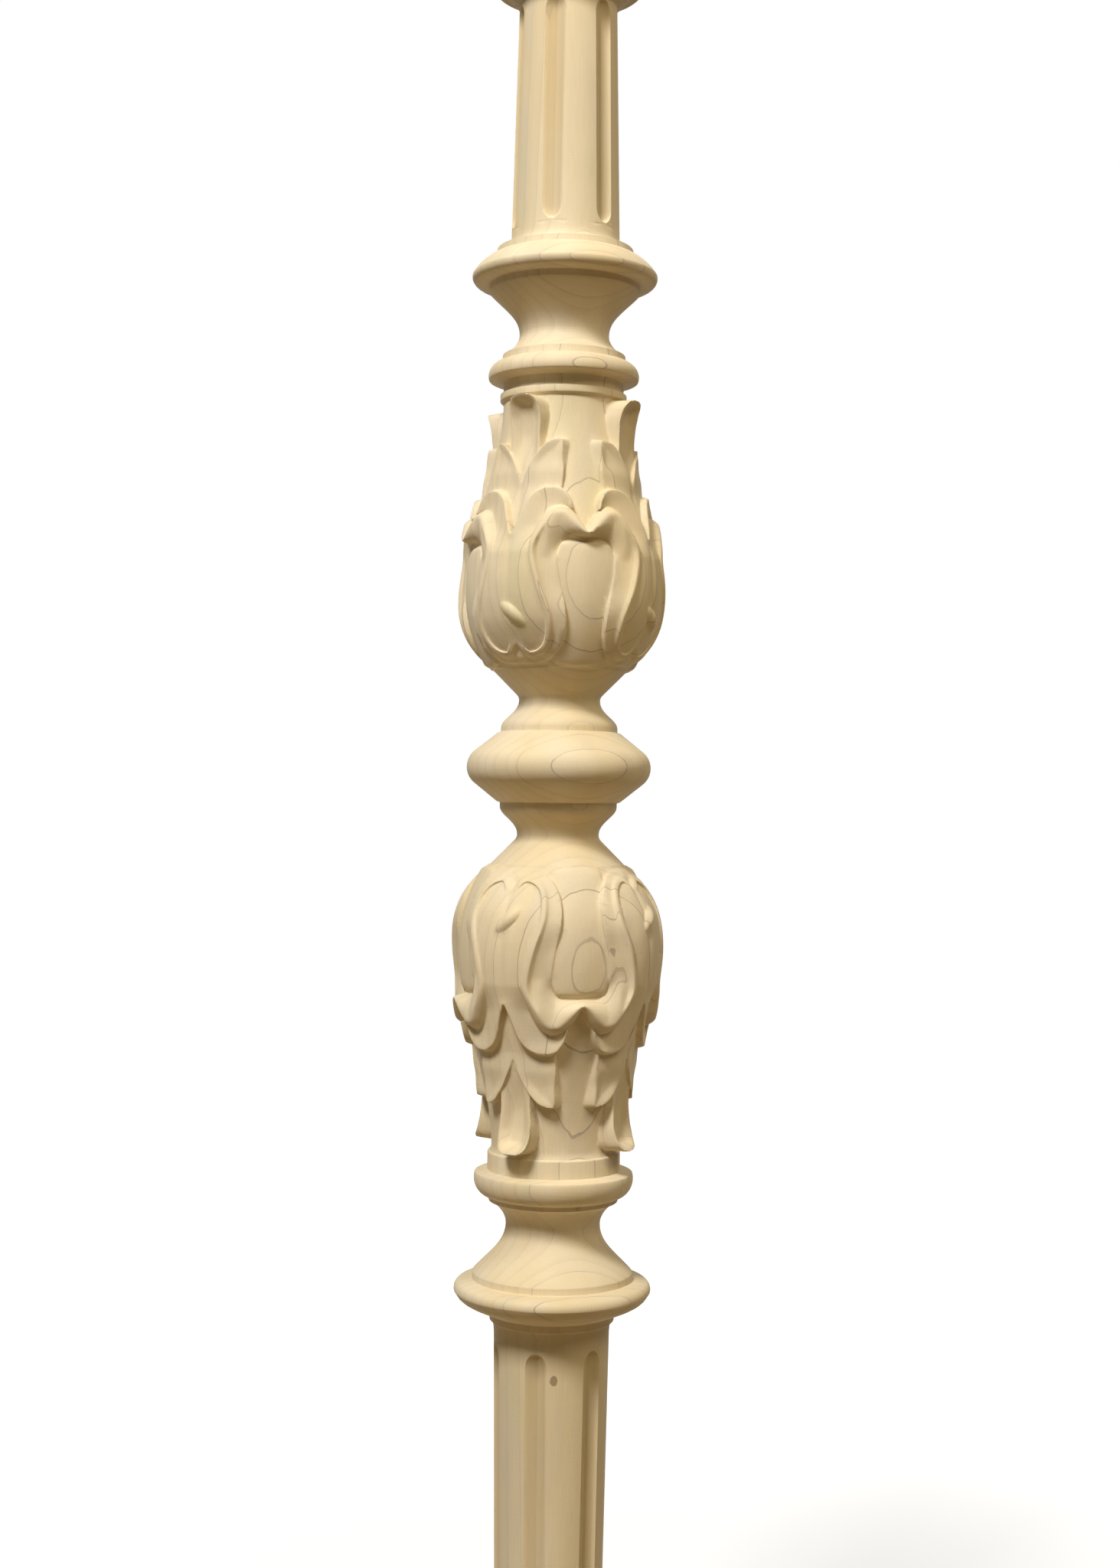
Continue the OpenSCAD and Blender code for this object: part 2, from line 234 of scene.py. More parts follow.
@dataclass(frozen=True)
class SmallRing:
    """Lip and small ring over the carving of one end, as stations above the carving's top."""

    lip_r: float
    lip_low: float
    lip_high: float
    groove_r: float
    ring_low: float
    arris: float
    ring_r: float
    ring_high: float
    shaft_fillet_r: float
    lip_lead: float = 0.9
    lip_rise: float = 0.5
    groove_slope: float = 0.1

    @classmethod
    def of(cls, end: End) -> "SmallRing":
        """Gives the lip and ring of one end: they were turned by hand and differ a little.

        Args:
            end: Which end.

        Returns:
            Its lip and ring: the foot's ring is taller and has no groove under it.
        """
        if end is End.TOP:
            return cls(lip_r=28.3, lip_low=0.7, lip_high=4.3, groove_r=26.9, ring_low=9.4,
                       arris=10.9, ring_r=33.8, ring_high=18.9, shaft_fillet_r=30.8)
        return cls(lip_r=28.4, lip_low=1.5, lip_high=9.1, groove_r=28.4, ring_low=9.3,
                   arris=10.4, ring_r=34.1, ring_high=20.2, shaft_fillet_r=26.4)

    def outline(self, z: float, end_r: float) -> Curve:
        """Draws the lip and the ring.

        Args:
            z: Station of the carving's top, in mm.
            end_r: Radius of the thin fillet that the ring runs out on, in mm.

        Returns:
            The outline as (radius, station) pairs.
        """
        low, rise = z + self.arris, self.ring_high - self.arris
        lip = [(self.lip_r - self.lip_lead, z + self.lip_low),
               (self.lip_r, z + self.lip_low + self.lip_rise), (self.lip_r, z + self.lip_high),
               (self.groove_r, z + self.lip_high + self.groove_slope),
               (self.groove_r, z + self.ring_low)]
        ring = bend((self.ring_r - 0.4, low), (self.ring_r + 0.8, low + 0.38 * rise),
                    (self.ring_r - 1.0, low + 0.88 * rise), (end_r + 1.2, z + self.ring_high),
                    steps=12)
        return lip + ring + [(end_r, z + self.ring_high)]


@dataclass
class Turning:
    """Turned mouldings of one half, as stations measured outward from the middle, in mm."""

    half_height: float
    bead_r: float = 40.3
    bead_nose: float = 9.0
    bead_flank: float = 51.0
    bead_half: float = 15.3
    shoulder_r: float = 25.6
    shoulder_band: float = 1.8
    neck_r: float = 17.8
    neck_run: float = 13.8
    neck_hollow: float = 3.5
    cone_angle: float = 45.0
    cone_rise: float = 13.0
    bulb_height: float = 132.0
    ring_height: float = 19.9
    thin_fillet_r: float = 27.6
    thin_fillet_height: float = 2.4
    outer_neck_r: float = 20.1
    outer_neck_run: float = 9.4
    bell_r: float = 34.0
    bell_height: float = 19.8
    bell_fillet: float = 2.8
    big_ring_r: float = 41.8
    big_ring_nose: float = 3.4
    big_ring_height: float = 13.6
    shaft_fillet: float = 3.1
    shaft_root_r: float = 24.4
    shaft_end_r: float = 22.4
    cavetto: float = 7.4
    end_ring_r: float = 35.0
    end_ring_height: float = 16.0
    end_neck_r: float = 29.0
    end_neck_height: float = 5.5
    block_height: float = 97.0
    ease: float = 0.35

    def __post_init__(self) -> None:
        """Works out the stations from the heights."""
        self.neck_z = self.bead_half + self.neck_run
        self.carving_z = self.neck_z + self.cone_rise
        self.lip_z = self.neck_z + self.bulb_height
        self.neck_start_z = self.lip_z + self.ring_height + self.thin_fillet_height
        self.outer_neck_z = self.neck_start_z + self.outer_neck_run
        self.bell_end_z = self.outer_neck_z + self.bell_height
        self.big_ring_z = self.bell_end_z + self.bell_fillet
        self.shaft_fillet_z = self.big_ring_z + self.big_ring_height
        self.shaft_z = self.shaft_fillet_z + self.shaft_fillet + self.cavetto
        self.block_z = self.half_height - self.block_height
        self.end_ring_z = self.block_z - self.end_neck_height - self.end_ring_height
        angle = math.radians(self.cone_angle)
        self.cone_r = (self.neck_r + self.neck_hollow * (1 - math.cos(angle))
                       + self.cone_rise - self.neck_hollow * math.sin(angle))

    def bead_to_carving(self) -> Curve:
        """Draws the outline from the middle of the bead to the foot of the carving.

        Returns:
            The outline as (radius, station) pairs.
        """
        r, z, run = self.shoulder_r, self.bead_half, self.neck_run
        bead = arc(self.bead_r - self.bead_nose, 0.0, self.bead_nose, 0.0, self.bead_flank)
        foot = [(r + 1.4, z - 0.4), (r, z)]
        shoulder = bend((r, z + self.shoulder_band), (r, z + 0.42 * run),
                        (self.neck_r, z + 0.6 * run), (self.neck_r, self.neck_z))
        hollow = arc(self.neck_r + self.neck_hollow, self.neck_z, self.neck_hollow, 180.0,
                     180.0 - self.cone_angle, 4)
        cone = [(self.cone_r - back, self.carving_z - back) for back in (4.0, 0.5)]
        return eased(bead + foot + shoulder + hollow[1:] + cone, self.ease)

    def neck_and_bell(self) -> Curve:
        """Draws the outer neck and the bell that opens to the big ring.

        Returns:
            The outline as (radius, station) pairs.
        """
        r, start = self.thin_fillet_r, self.neck_start_z
        waist, z, rise = self.outer_neck_r, self.outer_neck_z, self.bell_height
        neck = bend((r, start), (r - 3.0, start + 0.6), (waist, z - 0.45 * self.outer_neck_run),
                    (waist, z))
        bell = bend((waist, z + 0.2), (waist, z + 0.42 * rise),
                    (self.bell_r - 0.34 * rise, self.bell_end_z - 0.36 * rise),
                    (self.bell_r, self.bell_end_z), steps=12)
        return neck + bell + [(self.bell_r, self.big_ring_z)]

    def big_ring(self, fillet_r: float) -> Curve:
        """Draws the big ring, its fillet and the hollow down to the shaft.

        Args:
            fillet_r: Radius of the fillet beside the shaft, in mm.

        Returns:
            The outline as (radius, station) pairs.
        """
        nose, end = self.big_ring_nose, self.shaft_fillet_z
        crest = self.big_ring_z + 0.9 * nose + 1.0
        ring = [(self.bell_r + 1.6, self.big_ring_z)]
        ring += arc(self.big_ring_r - nose, crest, nose, -62.0, 14.0)
        ring += bend((self.big_ring_r - 1.9, crest + 1.0 * nose),
                     (self.big_ring_r - 4.2, crest + 1.75 * nose), (fillet_r + 4.5, end - 1.6),
                     (fillet_r + 1.0, end), steps=6)
        root, z = self.shaft_root_r, end + self.shaft_fillet
        hollow = bend((fillet_r - 0.6, z), (root + 0.9, z + 0.2), (root, z + 0.9),
                      (root, self.shaft_z))
        return ring + [(fillet_r, end), (fillet_r, z)] + hollow

    def lip_to_shaft(self, end: End) -> Curve:
        """Draws the outline from the lip over the carving to the start of the shaft.

        Args:
            end: Which half.

        Returns:
            The outline as (radius, station) pairs.
        """
        shape = SmallRing.of(end)
        return eased(shape.outline(self.lip_z, self.thin_fillet_r) + self.neck_and_bell()
                     + self.big_ring(shape.shaft_fillet_r), self.ease)

    def end_ring_to_block(self) -> Curve:
        """Draws the outline from the end of the shaft over the end ring to the square block.

        Returns:
            The outline as (radius, station) pairs.
        """
        nose, top = self.end_ring_height / 4, self.end_ring_z + self.end_ring_height
        crest = top - 1.1 * nose
        ring = [(self.end_ring_r - nose - 0.6, crest - 0.8 * nose)]
        ring += arc(self.end_ring_r - nose, crest, nose, -45.0, 80.0)
        neck = [(self.end_neck_r, top), (self.end_neck_r, self.block_z)]
        return eased([(self.shaft_end_r, self.end_ring_z)] + ring + neck, self.ease)


@dataclass
class Flutes:
    """Stopped flutes, sunk into the tapered shaft."""

    count: int = 6
    width: float = 9.4
    depth: float = 3.2
    margin: float = 1.4
    end_run: float = 6.4
    vee: float = 0.45
    wall_lean: float = 0.15
    end_power: float = 0.8
    end_steps: tuple[float, ...] = (0.15, 0.5, 1.0, 1.6, 2.3, 3.1, 4.0, 5.1)
    middle_rings: int = 14

    def stations(self, first: float, last: float) -> list[float]:
        """Gives the stations of the rings along the flutes, closest at their round ends.

        Args:
            first: Station at which the flutes start, in mm.
            last: Station at which they end, in mm.

        Returns:
            The stations in mm.
        """
        steps = [*self.end_steps, self.end_run]
        middle = np.linspace(first + self.end_run, last - self.end_run, self.middle_rings)
        return ([first + step for step in steps] + list(middle[1:-1])
                + [last - step for step in reversed(steps)])

    def half_width(self, station: float, first: float, last: float) -> float:
        """Gives half the width of a flute at a station.

        Args:
            station: Station along the shaft, in mm.
            first: Station at which the flute starts, in mm.
            last: Station at which it ends, in mm.

        Returns:
            Half the width in mm, nothing past the ends.
        """
        way = min(station - first, last - station)
        t = min(max(way / self.end_run, 0.0), 1.0)
        return 0.5 * self.width * math.sqrt(1.0 - (1.0 - t) ** 2)

    def sink(self, across: np.ndarray, half: float) -> np.ndarray:
        """Gives the depth of the flute under the shaft's surface.

        Args:
            across: Distance from the flute's centre line, in mm.
            half: Half the flute's width at this station, in mm.

        Returns:
            The depth in mm at each place.
        """
        if half < 1e-3:
            return np.zeros_like(across)
        t = np.clip(np.abs(across) / half, 0.0, 1.0)
        full = half / (0.5 * self.width)
        hollow = mix(np.sqrt(1.0 - t ** 2), 1.0 - t, self.vee) * (1 - self.wall_lean * t)
        return self.depth * full ** self.end_power * hollow


@dataclass
class EndBlock:
    """Square block left at either end of the turning."""

    width: float
    chamfer: float = 1.0
    shoulder_r: float = 31.5
    shoulder_height: float = 20.0
    past_corner: float = 1.0
    rows: int = 12
    end_bevel: float = 0.8
    bevel_support: float = 1.2
    inner_r: float = 24.0
    centre_r: float = 3.2
    centre_depth: float = 3.0

    @property
    def corner_r(self) -> float:
        """Radius at which the shoulder's curve ends, just past the corners, in mm."""
        return self.width / 2 * math.sqrt(2.0) + self.past_corner

    def column_angles(self, columns: int) -> np.ndarray:
        """Gives the angles of the columns, drawn to the chamfered corners.

        Args:
            columns: Number of columns around, a multiple of eight.

        Returns:
            The angles in radians, the first along +X.
        """
        side = self.width / 2
        eighth = columns // 8
        edge = math.atan2(side - self.chamfer, side)
        first = np.append(np.linspace(0.0, edge, eighth), math.pi / 4)
        half = np.append(first, math.pi / 2 - first[-2:0:-1])
        return np.concatenate([half + q * math.pi / 2 for q in range(4)])

    def square_r(self, angles: np.ndarray) -> np.ndarray:
        """Gives the radius of the chamfered square.

        Args:
            angles: Angles about the axis, in radians.

        Returns:
            The radius in mm at each angle.
        """
        side = self.width / 2
        c, s = np.abs(np.cos(angles)), np.abs(np.sin(angles))
        return np.minimum(side / np.maximum(c, s), (2 * side - self.chamfer) / (c + s))

    def shoulder(self, t: np.ndarray) -> tuple[np.ndarray, np.ndarray]:
        """Gives the radius and rise of the shoulder, from its small end at 0 to the corners."""
        a, run = t * math.pi / 2, self.corner_r - self.shoulder_r
        return self.corner_r - run * np.cos(a), self.shoulder_height * np.sin(a)

    def meets(self, angles: np.ndarray) -> np.ndarray:
        """Tells how far along the shoulder it meets the square, at each angle."""
        share = (self.corner_r - self.square_r(angles)) / (self.corner_r - self.shoulder_r)
        return np.arccos(np.clip(share, -1.0, 1.0)) / (math.pi / 2)

    def face(self) -> list[tuple[bool, float, float]]:
        """Lists the rings of the bevel, the end face and the lathe's centre mark.

        Returns:
            For each ring whether it is square, its inset or its radius, and its drop, in mm.
        """
        bevel, beside = self.end_bevel, self.end_bevel + self.bevel_support
        return [(True, 0.0, beside), (True, 0.0, bevel), (True, 0.3 * bevel, 0.3 * bevel),
                (True, bevel, 0.0), (True, beside, 0.0), (False, self.inner_r, 0.0),
                (False, self.centre_r, 0.0),
                (False, 0.25 * self.centre_r, 0.75 * self.centre_depth)]


@dataclass
class LeafCarving:
    """Acanthus leaves of one bulb: heights above the neck and relief over the ground, in mm.

    Curves are (degrees from the leaf's centre line, height) and are drawn on half a leaf.
    """

    ground_start: float = 30.2
    ledge: float = 0.9
    belly_r: float = 42.0
    belly_w: float = 49.0
    ground_top_r: float = 26.8
    start_slope: float = 0.8
    foot_w: float = 13.0
    top_w: float = 132.0
    wall: float = 0.75
    ridge_height: float = 5.0
    scoop_power: float = 2.2
    bud_place: tuple[float, float] = (2.5, 34.6)
    bud_lean: float = -48.0
    bud_size: Triple = (7.0, 3.0, 1.9)
    unevenness: float = 0.35
    facet_depth: float = 0.05
    grid_steps: tuple[float, float] = (0.125, 0.25)
    shield_edge: Curve = field(default_factory=lambda: [
        (0, 14.3), (15, 14.8), (26, 18), (32.6, 26), (32.8, 37), (28.6, 51), (27.8, 61),
        (33, 66.6), (45, 67.3)])
    scroll_line: Curve = field(default_factory=lambda: [
        (0, 25.5), (3, 23.5), (9.5, 19.2), (19, 22.6), (21, 33), (15.6, 47), (12, 60), (13.2, 69),
        (17, 75.6), (22, 79.8), (28, 81.4), (34, 80.6), (39, 77.6), (42.6, 74), (45, 70.8)])
    band_edge: Curve = field(default_factory=lambda: [
        (0, 70), (3.5, 77), (5.6, 81.5), (8.5, 85.3), (12.5, 88), (18.5, 89.8), (26, 90),
        (32, 88.4), (36, 84.4), (37.3, 81)])
    lobe_edge: Curve = field(default_factory=lambda: [
        (0, 93), (2.6, 97), (6.9, 101.4), (12.8, 106), (20.4, 110), (28, 111.7), (33.5, 111.8),
        (35.6, 110), (34.2, 104), (31.8, 96), (30.4, 88)])
    tip_edge: Curve = field(default_factory=lambda: [
        (13, 96), (15, 108), (15.3, 113), (17.2, 121), (16.8, 125), (15, 128.2), (11, 130.3),
        (5.5, 131.2), (0, 131.4)])
    tip_rise: Curve = field(default_factory=lambda: [
        (88, 0.9), (93, 1.2), (99, 1.9), (105, 2.8), (113, 4.4), (121, 6.4), (126, 8.3),
        (129, 9.9), (132, 11.2)])
    edge_rise: Step = Step(15, 6)
    edge_fall: Step = Step(34, 14)
    ridge_end: Step = Step(58, 10)
    scroll_arch: Step = Step(62, 12)
    inset_fade: Step = Step(34, 11)
    under_band: Step = Step(15, 8)
    heart: Step = Step(57, 7)
    notch_start: Step = Step(16, 4)
    notch_end: Step = Step(33, -4)
    band_arch: Step = Step(60, 14)
    channel: Step = Step(34, -10)
    root: Step = Step(30, -12)
    lobe_rise: Step = Step(89, 11)
    lobe_lift: Step = Step(98, 13)
    lobe_scoop: Step = Step(96, 10)
    tip_scoop: Step = Step(96, 20)
    swell_start: Step = Step(13, 4)
    swell_end: Step = Step(66, -4)
    groove_side: Step = Step(27, 5)
    toe_side: Step = Step(25, 3)
    beside_line: Step = Step(1.5, 4)
    below_line: Step = Step(20, -3)
    lobe_wall: Step = Step(0.4, 4.0)
    tip_wall: Step = Step(0.8, 5.0)
    shield_side: Step = Step(20, 8)
    straighten: Step = Step(95, 9)
    tip_lift: Step = Step(118, 12)
    high_relief: Step = Step(3.5, 7)

    def ground_r(self, w: np.ndarray) -> np.ndarray:
        """Gives the radius of the carved ground.

        Args:
            w: Height above the neck at each place.

        Returns:
            The radius in mm at each place.
        """
        run = self.belly_w - self.foot_w
        t = (w - self.foot_w) / run
        low = (self.ground_start * (1 - t) ** 2 * (1 + 2 * t)
               + self.start_slope * run * t * (1 - t) ** 2 + self.belly_r * t * t * (3 - 2 * t))
        up = smooth((w - self.belly_w) / (self.top_w - self.belly_w))
        return np.where(w < self.belly_w, low, mix(self.belly_r, self.ground_top_r, up))

    def per_degree(self, w: np.ndarray) -> np.ndarray:
        """Gives the millimetres to a degree around the carved ground."""
        return self.ground_r(w) * math.pi / 180

    def edge(self, w: np.ndarray) -> np.ndarray:
        """Gives the relief of the edge over the shield, highest beside the shield's foot."""
        return 1.2 + 1.2 * self.edge_rise.at(w) - 1.7 * self.edge_fall.at(w)

    def ridge(self, w: np.ndarray) -> np.ndarray:
        """Gives the relief of the scroll's ridge, which grows from the foot to the heart."""
        rise = self.ridge_height * (1 - np.exp(-np.maximum(w - self.foot_w, 0.0) / 10.0))
        return rise + 0.5 * self.ridge_end.at(w)

    def scroll(self, a: np.ndarray, w: np.ndarray, to_shield: np.ndarray,
               to_line: np.ndarray) -> np.ndarray:
        """Gives the relief of the scroll, scooped from its ridge to the edge over the shield.

        Args:
            a: Degrees from the leaf's centre line at each place.
            w: Height above the neck at each place.
            to_shield: Distance to the shield's edge, in mm.
            to_line: Distance to the scroll's inner line, in mm.

        Returns:
            The relief in mm.
        """
        arch = self.scroll_arch.at(w)
        inset = mix(1.8, 3.5, arch) - 1.2 * self.inset_fade.at(a)
        ridge = self.ridge(w)
        from_ridge = np.maximum(to_line - inset, 0.0)
        t = np.clip(to_shield / np.maximum(TINY, to_shield + from_ridge), 0.0, 1.0)
        face = mix(self.edge(w), ridge, t ** self.scoop_power)
        face = face - 0.8 * smooth(from_ridge / 1.3) * hump(from_ridge, 3.6)
        roll = mix(-1.4, ridge, 1 - (1 - t) ** 1.5)
        hollow = self.under_band.at(a) * self.heart.at(w)
        face = mix(face, roll, hollow)
        at_line = mix(ridge - 0.3, 1.9, arch)
        back = np.clip(1.0 - to_line / inset, 0.0, 1.0)
        out = np.where(to_line < inset, mix(ridge, at_line, back ** 2.0), face)
        return out - 1.6 * hump(a, 4.0) * self.notch_start.at(w) * self.notch_end.at(w)

    def outer_face(self, a: np.ndarray, w: np.ndarray, to_line: np.ndarray,
                   to_band: np.ndarray) -> np.ndarray:
        """Gives the relief of the outer face, which becomes the band arching over the scroll.

        Args:
            a: Degrees from the leaf's centre line at each place.
            w: Height above the neck at each place.
            to_line: Distance to the scroll's inner line, in mm.
            to_band: Distance to the band's free edge, in mm.

        Returns:
            The relief in mm.
        """
        arch = self.band_arch.at(w)
        channel = self.channel.at(w)
        plateau = np.minimum(self.ridge(w), 5.1) - mix(1.0, 1.5, channel)
        plateau = plateau + 0.3 * np.sin(np.clip(a / 14, 0, 1) * math.pi)
        plateau = plateau - 0.35 * hump(a, 1.8)
        inset = 1.0
        t = np.clip(to_line / np.maximum(TINY, to_line + to_band - inset), 0.0, 1.0)
        band = mix(1.4, 3.9, t ** 1.2) - 0.4 * np.clip(1 - to_band / inset, 0, 1)
        low = self.root.at(w) * hump(a, 3.2)
        return mix(plateau, band, arch) - 0.7 * low

    def lobe(self, a: np.ndarray, w: np.ndarray, to_lobe: np.ndarray) -> np.ndarray:
        """Gives the relief of the side lobe, which lifts towards its free edge.

        Args:
            a: Degrees from the leaf's centre line at each place.
            w: Height above the neck at each place.
            to_lobe: Distance to the lobe's edge, in mm.

        Returns:
            The relief in mm.
        """
        rise = mix(1.3, 2.8, self.lobe_rise.at(w)) + 1.9 * self.lobe_lift.at(w)
        valley = 0.6 * hump(a, 2.5)
        scoop = mix(0.35, 1.1, self.lobe_scoop.at(w)) * self.lobe_wall.at(to_lobe)
        return rise - valley - scoop

    def tip(self, w: np.ndarray, to_tip: np.ndarray) -> np.ndarray:
        """Gives the relief of the curled tip, scooped between its edges.

        Args:
            w: Height above the neck at each place.
            to_tip: Distance to the tip's edge, in mm.

        Returns:
            The relief in mm.
        """
        heights, reliefs = zip(*self.tip_rise)
        edge = np.interp(w, heights, reliefs)
        scoop = mix(0.6, 3.4, self.tip_scoop.at(w)) * self.tip_wall.at(to_tip)
        return edge - scoop

    def shield(self, a: np.ndarray, w: np.ndarray) -> np.ndarray:
        """Gives the relief of the shields between the leaves, with their toes and top groove.

        Args:
            a: Degrees from the leaf's centre line at each place.
            w: Height above the neck at each place.

        Returns:
            The relief in mm.
        """
        swell = hump(EDGE - a, 12) * self.swell_start.at(w) * self.swell_end.at(w)
        groove = hump(w - 66.4, 1.1) * self.groove_side.at(a)
        toe = self.foot_w + 1.3 * ((EDGE - a) / 17) ** 2
        lift = np.clip((w - toe) / 1.2, 0, 1) * np.exp(-np.maximum(w - toe, 0.0) / 6.0)
        return 0.35 * swell - 1.2 * groove + 1.6 * lift * self.toe_side.at(a)

    def cover(self, inside: np.ndarray) -> np.ndarray:
        """Tells how far a raised part has taken over, across the wall at its edge."""
        return smooth(inside / self.wall + 0.3)

    def half_leaf(self, a: np.ndarray, w: np.ndarray) -> np.ndarray:
        """Gives the relief over the carved ground on half a leaf.

        Args:
            a: Degrees from the leaf's centre line, 0 to 45.
            w: Height above the neck.

        Returns:
            The relief in mm.
        """
        k = self.per_degree(w)
        curves = [through(c) for c in (self.shield_edge, self.scroll_line, self.band_edge,
                                       self.lobe_edge, self.tip_edge)]
        shield, line, band, lobe, tip = curves
        to_shield, to_line, to_band, to_lobe, to_tip = (reach(c, a, w, k) for c in curves)
        heart = line[(line[:, 0] >= self.band_edge[-1][0]) & (line[:, 1] > 60)]
        blunt = np.array([band[-1], heart[0]])
        body = np.vstack([shield, [(50, 67.3), (50, 72)], heart[::-1], band[::-1],
                          [(PAST, 70), (PAST, 14.3)]])
        to_wall = np.minimum.reduce([
            to_shield, reach(heart, a, w, k), reach(blunt, a, w, k), to_band])
        in_body = signed(body, a, w, to_wall)
        on_scroll = signed(np.vstack([line, [(60, 60), (60, 5), (PAST, 5), (PAST, 29)]]),
                           a, w, to_line)
        in_lobe = signed(np.vstack([lobe, [(30, 80), (PAST, 70), (PAST, 93)]]), a, w, to_lobe)
        in_tip = signed(np.vstack([tip, [(PAST, 131.4), (PAST, 80), (12, 80)]]), a, w, to_tip)
        h = mix(self.shield(a, w), self.tip(w, to_tip), self.cover(in_tip))
        h = mix(h, self.lobe(a, w, to_lobe), self.cover(in_lobe))
        aside, low = self.beside_line.at(a), self.below_line.at(w)
        parted = aside + low - aside * low
        side = smooth(on_scroll / mix(6.0, 0.6, parted) + 0.5)
        leaf = mix(self.outer_face(a, w, to_line, to_band),
                   self.scroll(a, w, to_shield, to_line), side)
        return mix(h, leaf, self.cover(in_body))

    def bud(self, a: np.ndarray, w: np.ndarray) -> np.ndarray:
        """Gives the relief added by the almond bud that lies across the leaf's foot.

        Args:
            a: Degrees from the leaf's centre line at each place.
            w: Height above the neck at each place.

        Returns:
            The relief in mm.
        """
        x, y = (a - self.bud_place[0]) * self.per_degree(w), w - self.bud_place[1]
        lean = math.radians(self.bud_lean)
        c, s = math.cos(lean), math.sin(lean)
        long, wide, high = self.bud_size
        d = ((x * c + y * s) / long) ** 2 + ((-x * s + y * c) / wide) ** 2
        return high * np.clip(1 - d, 0, 1)

    def sampled(self, a: np.ndarray, w: np.ndarray) -> np.ndarray:
        """Reads the relief of half a leaf at scattered places, from a fine grid.

        Args:
            a: Degrees from the leaf's centre line at each place.
            w: Height above the neck at each place.

        Returns:
            The relief in mm at each place.
        """
        step_a, step_w = self.grid_steps
        a_axis = np.arange(0, EDGE + step_a, step_a)
        w_axis = np.arange(self.foot_w - 2, self.top_w + 2, step_w)
        drawn = self.half_leaf(*np.meshgrid(a_axis, w_axis))
        fa = np.clip(a, 0, EDGE) / step_a
        fw = np.clip(w - w_axis[0], 0, w_axis[-1] - w_axis[0] - step_w) / step_w
        i, j = np.minimum(fa.astype(int), len(a_axis) - 2), fw.astype(int)
        ta, tw = fa - i, fw - j
        return ((drawn[j, i] * (1 - ta) + drawn[j, i + 1] * ta) * (1 - tw)
                + (drawn[j + 1, i] * (1 - ta) + drawn[j + 1, i + 1] * ta) * tw)

    def relief(self, turn: np.ndarray, w: np.ndarray, seed: int) -> np.ndarray:
        """Gives the relief all around the bulb, with the small unevenness of hand work.

        Args:
            turn: Angle about the axis in degrees, one column each.
            w: Height above the neck, one row each.
            seed: Picks the unevenness.

        Returns:
            The relief in mm, rows by columns.
        """
        rng = np.random.default_rng(seed)
        wide, high = np.meshgrid(turn, w)
        leaf = np.floor(wide / PITCH).astype(int) % LEAVES
        a = np.mod(wide, PITCH) - EDGE
        shift = rng.uniform(-self.unevenness, self.unevenness, (LEAVES, 4))
        phase = rng.uniform(0, 2 * math.pi, (LEAVES, 4))
        fade = np.sin(np.abs(a) / EDGE * math.pi)
        wave_a = shift[leaf, 0] * np.sin(high / 17 + phase[leaf, 0]) * fade
        wave_w = shift[leaf, 1] * np.sin(np.abs(a) / 9 + high / 23 + phase[leaf, 1])
        out = self.sampled(np.abs(a) + 1.2 * wave_a, high + wave_w) + self.bud(a, high)
        facets = np.sin(high / 2.9 + wide / 7) * np.sin(wide / 5 + high / 11)
        return out + self.facet_depth * facets

    def skin(self, neck_z: float, columns: int, rows: int, cone_r: float,
             seed: int) -> np.ndarray:
        """Gives the points of the carved skin.

        Args:
            neck_z: Station of the neck, in mm.
            columns: Columns around.
            rows: Rows from the foot to the top of the carving.
            cone_r: Radius of the turned cone at the foot.
            seed: Picks the unevenness.

        Returns:
            The points, rows by columns by three, in mm.
        """
        w = np.linspace(self.foot_w + 0.1, self.top_w, rows)
        turn = np.arange(columns) * 360.0 / columns
        relief = self.relief(turn, w, seed)
        a = np.mod(turn, PITCH) - EDGE
        ground = self.ground_r(w)[:, None] * np.ones((1, columns))
        shield = self.shield_side.at(np.abs(a))[None, :]
        near = smooth((w - self.foot_w) / 7)[:, None]
        ground = ground - self.ledge * (1 - shield) * (1 - near)
        straight = self.straighten.at(w)[:, None]
        around, centre = np.radians(turn)[None, :], np.radians(turn - a)[None, :]
        x, y = (ground * f(around) + relief * mix(f(around), f(centre), straight)
                for f in (np.cos, np.sin))
        lift = 0.2 * self.high_relief.at(relief) * self.tip_lift.at(w)[:, None]
        z = neck_z + w[:, None] + lift
        skin = np.stack([x, y, z * np.ones_like(x)], axis=2)
        foot = np.stack([cone_r * np.cos(around), cone_r * np.sin(around),
                         np.full_like(around, neck_z + self.foot_w)], axis=2)
        return np.concatenate([foot, skin])


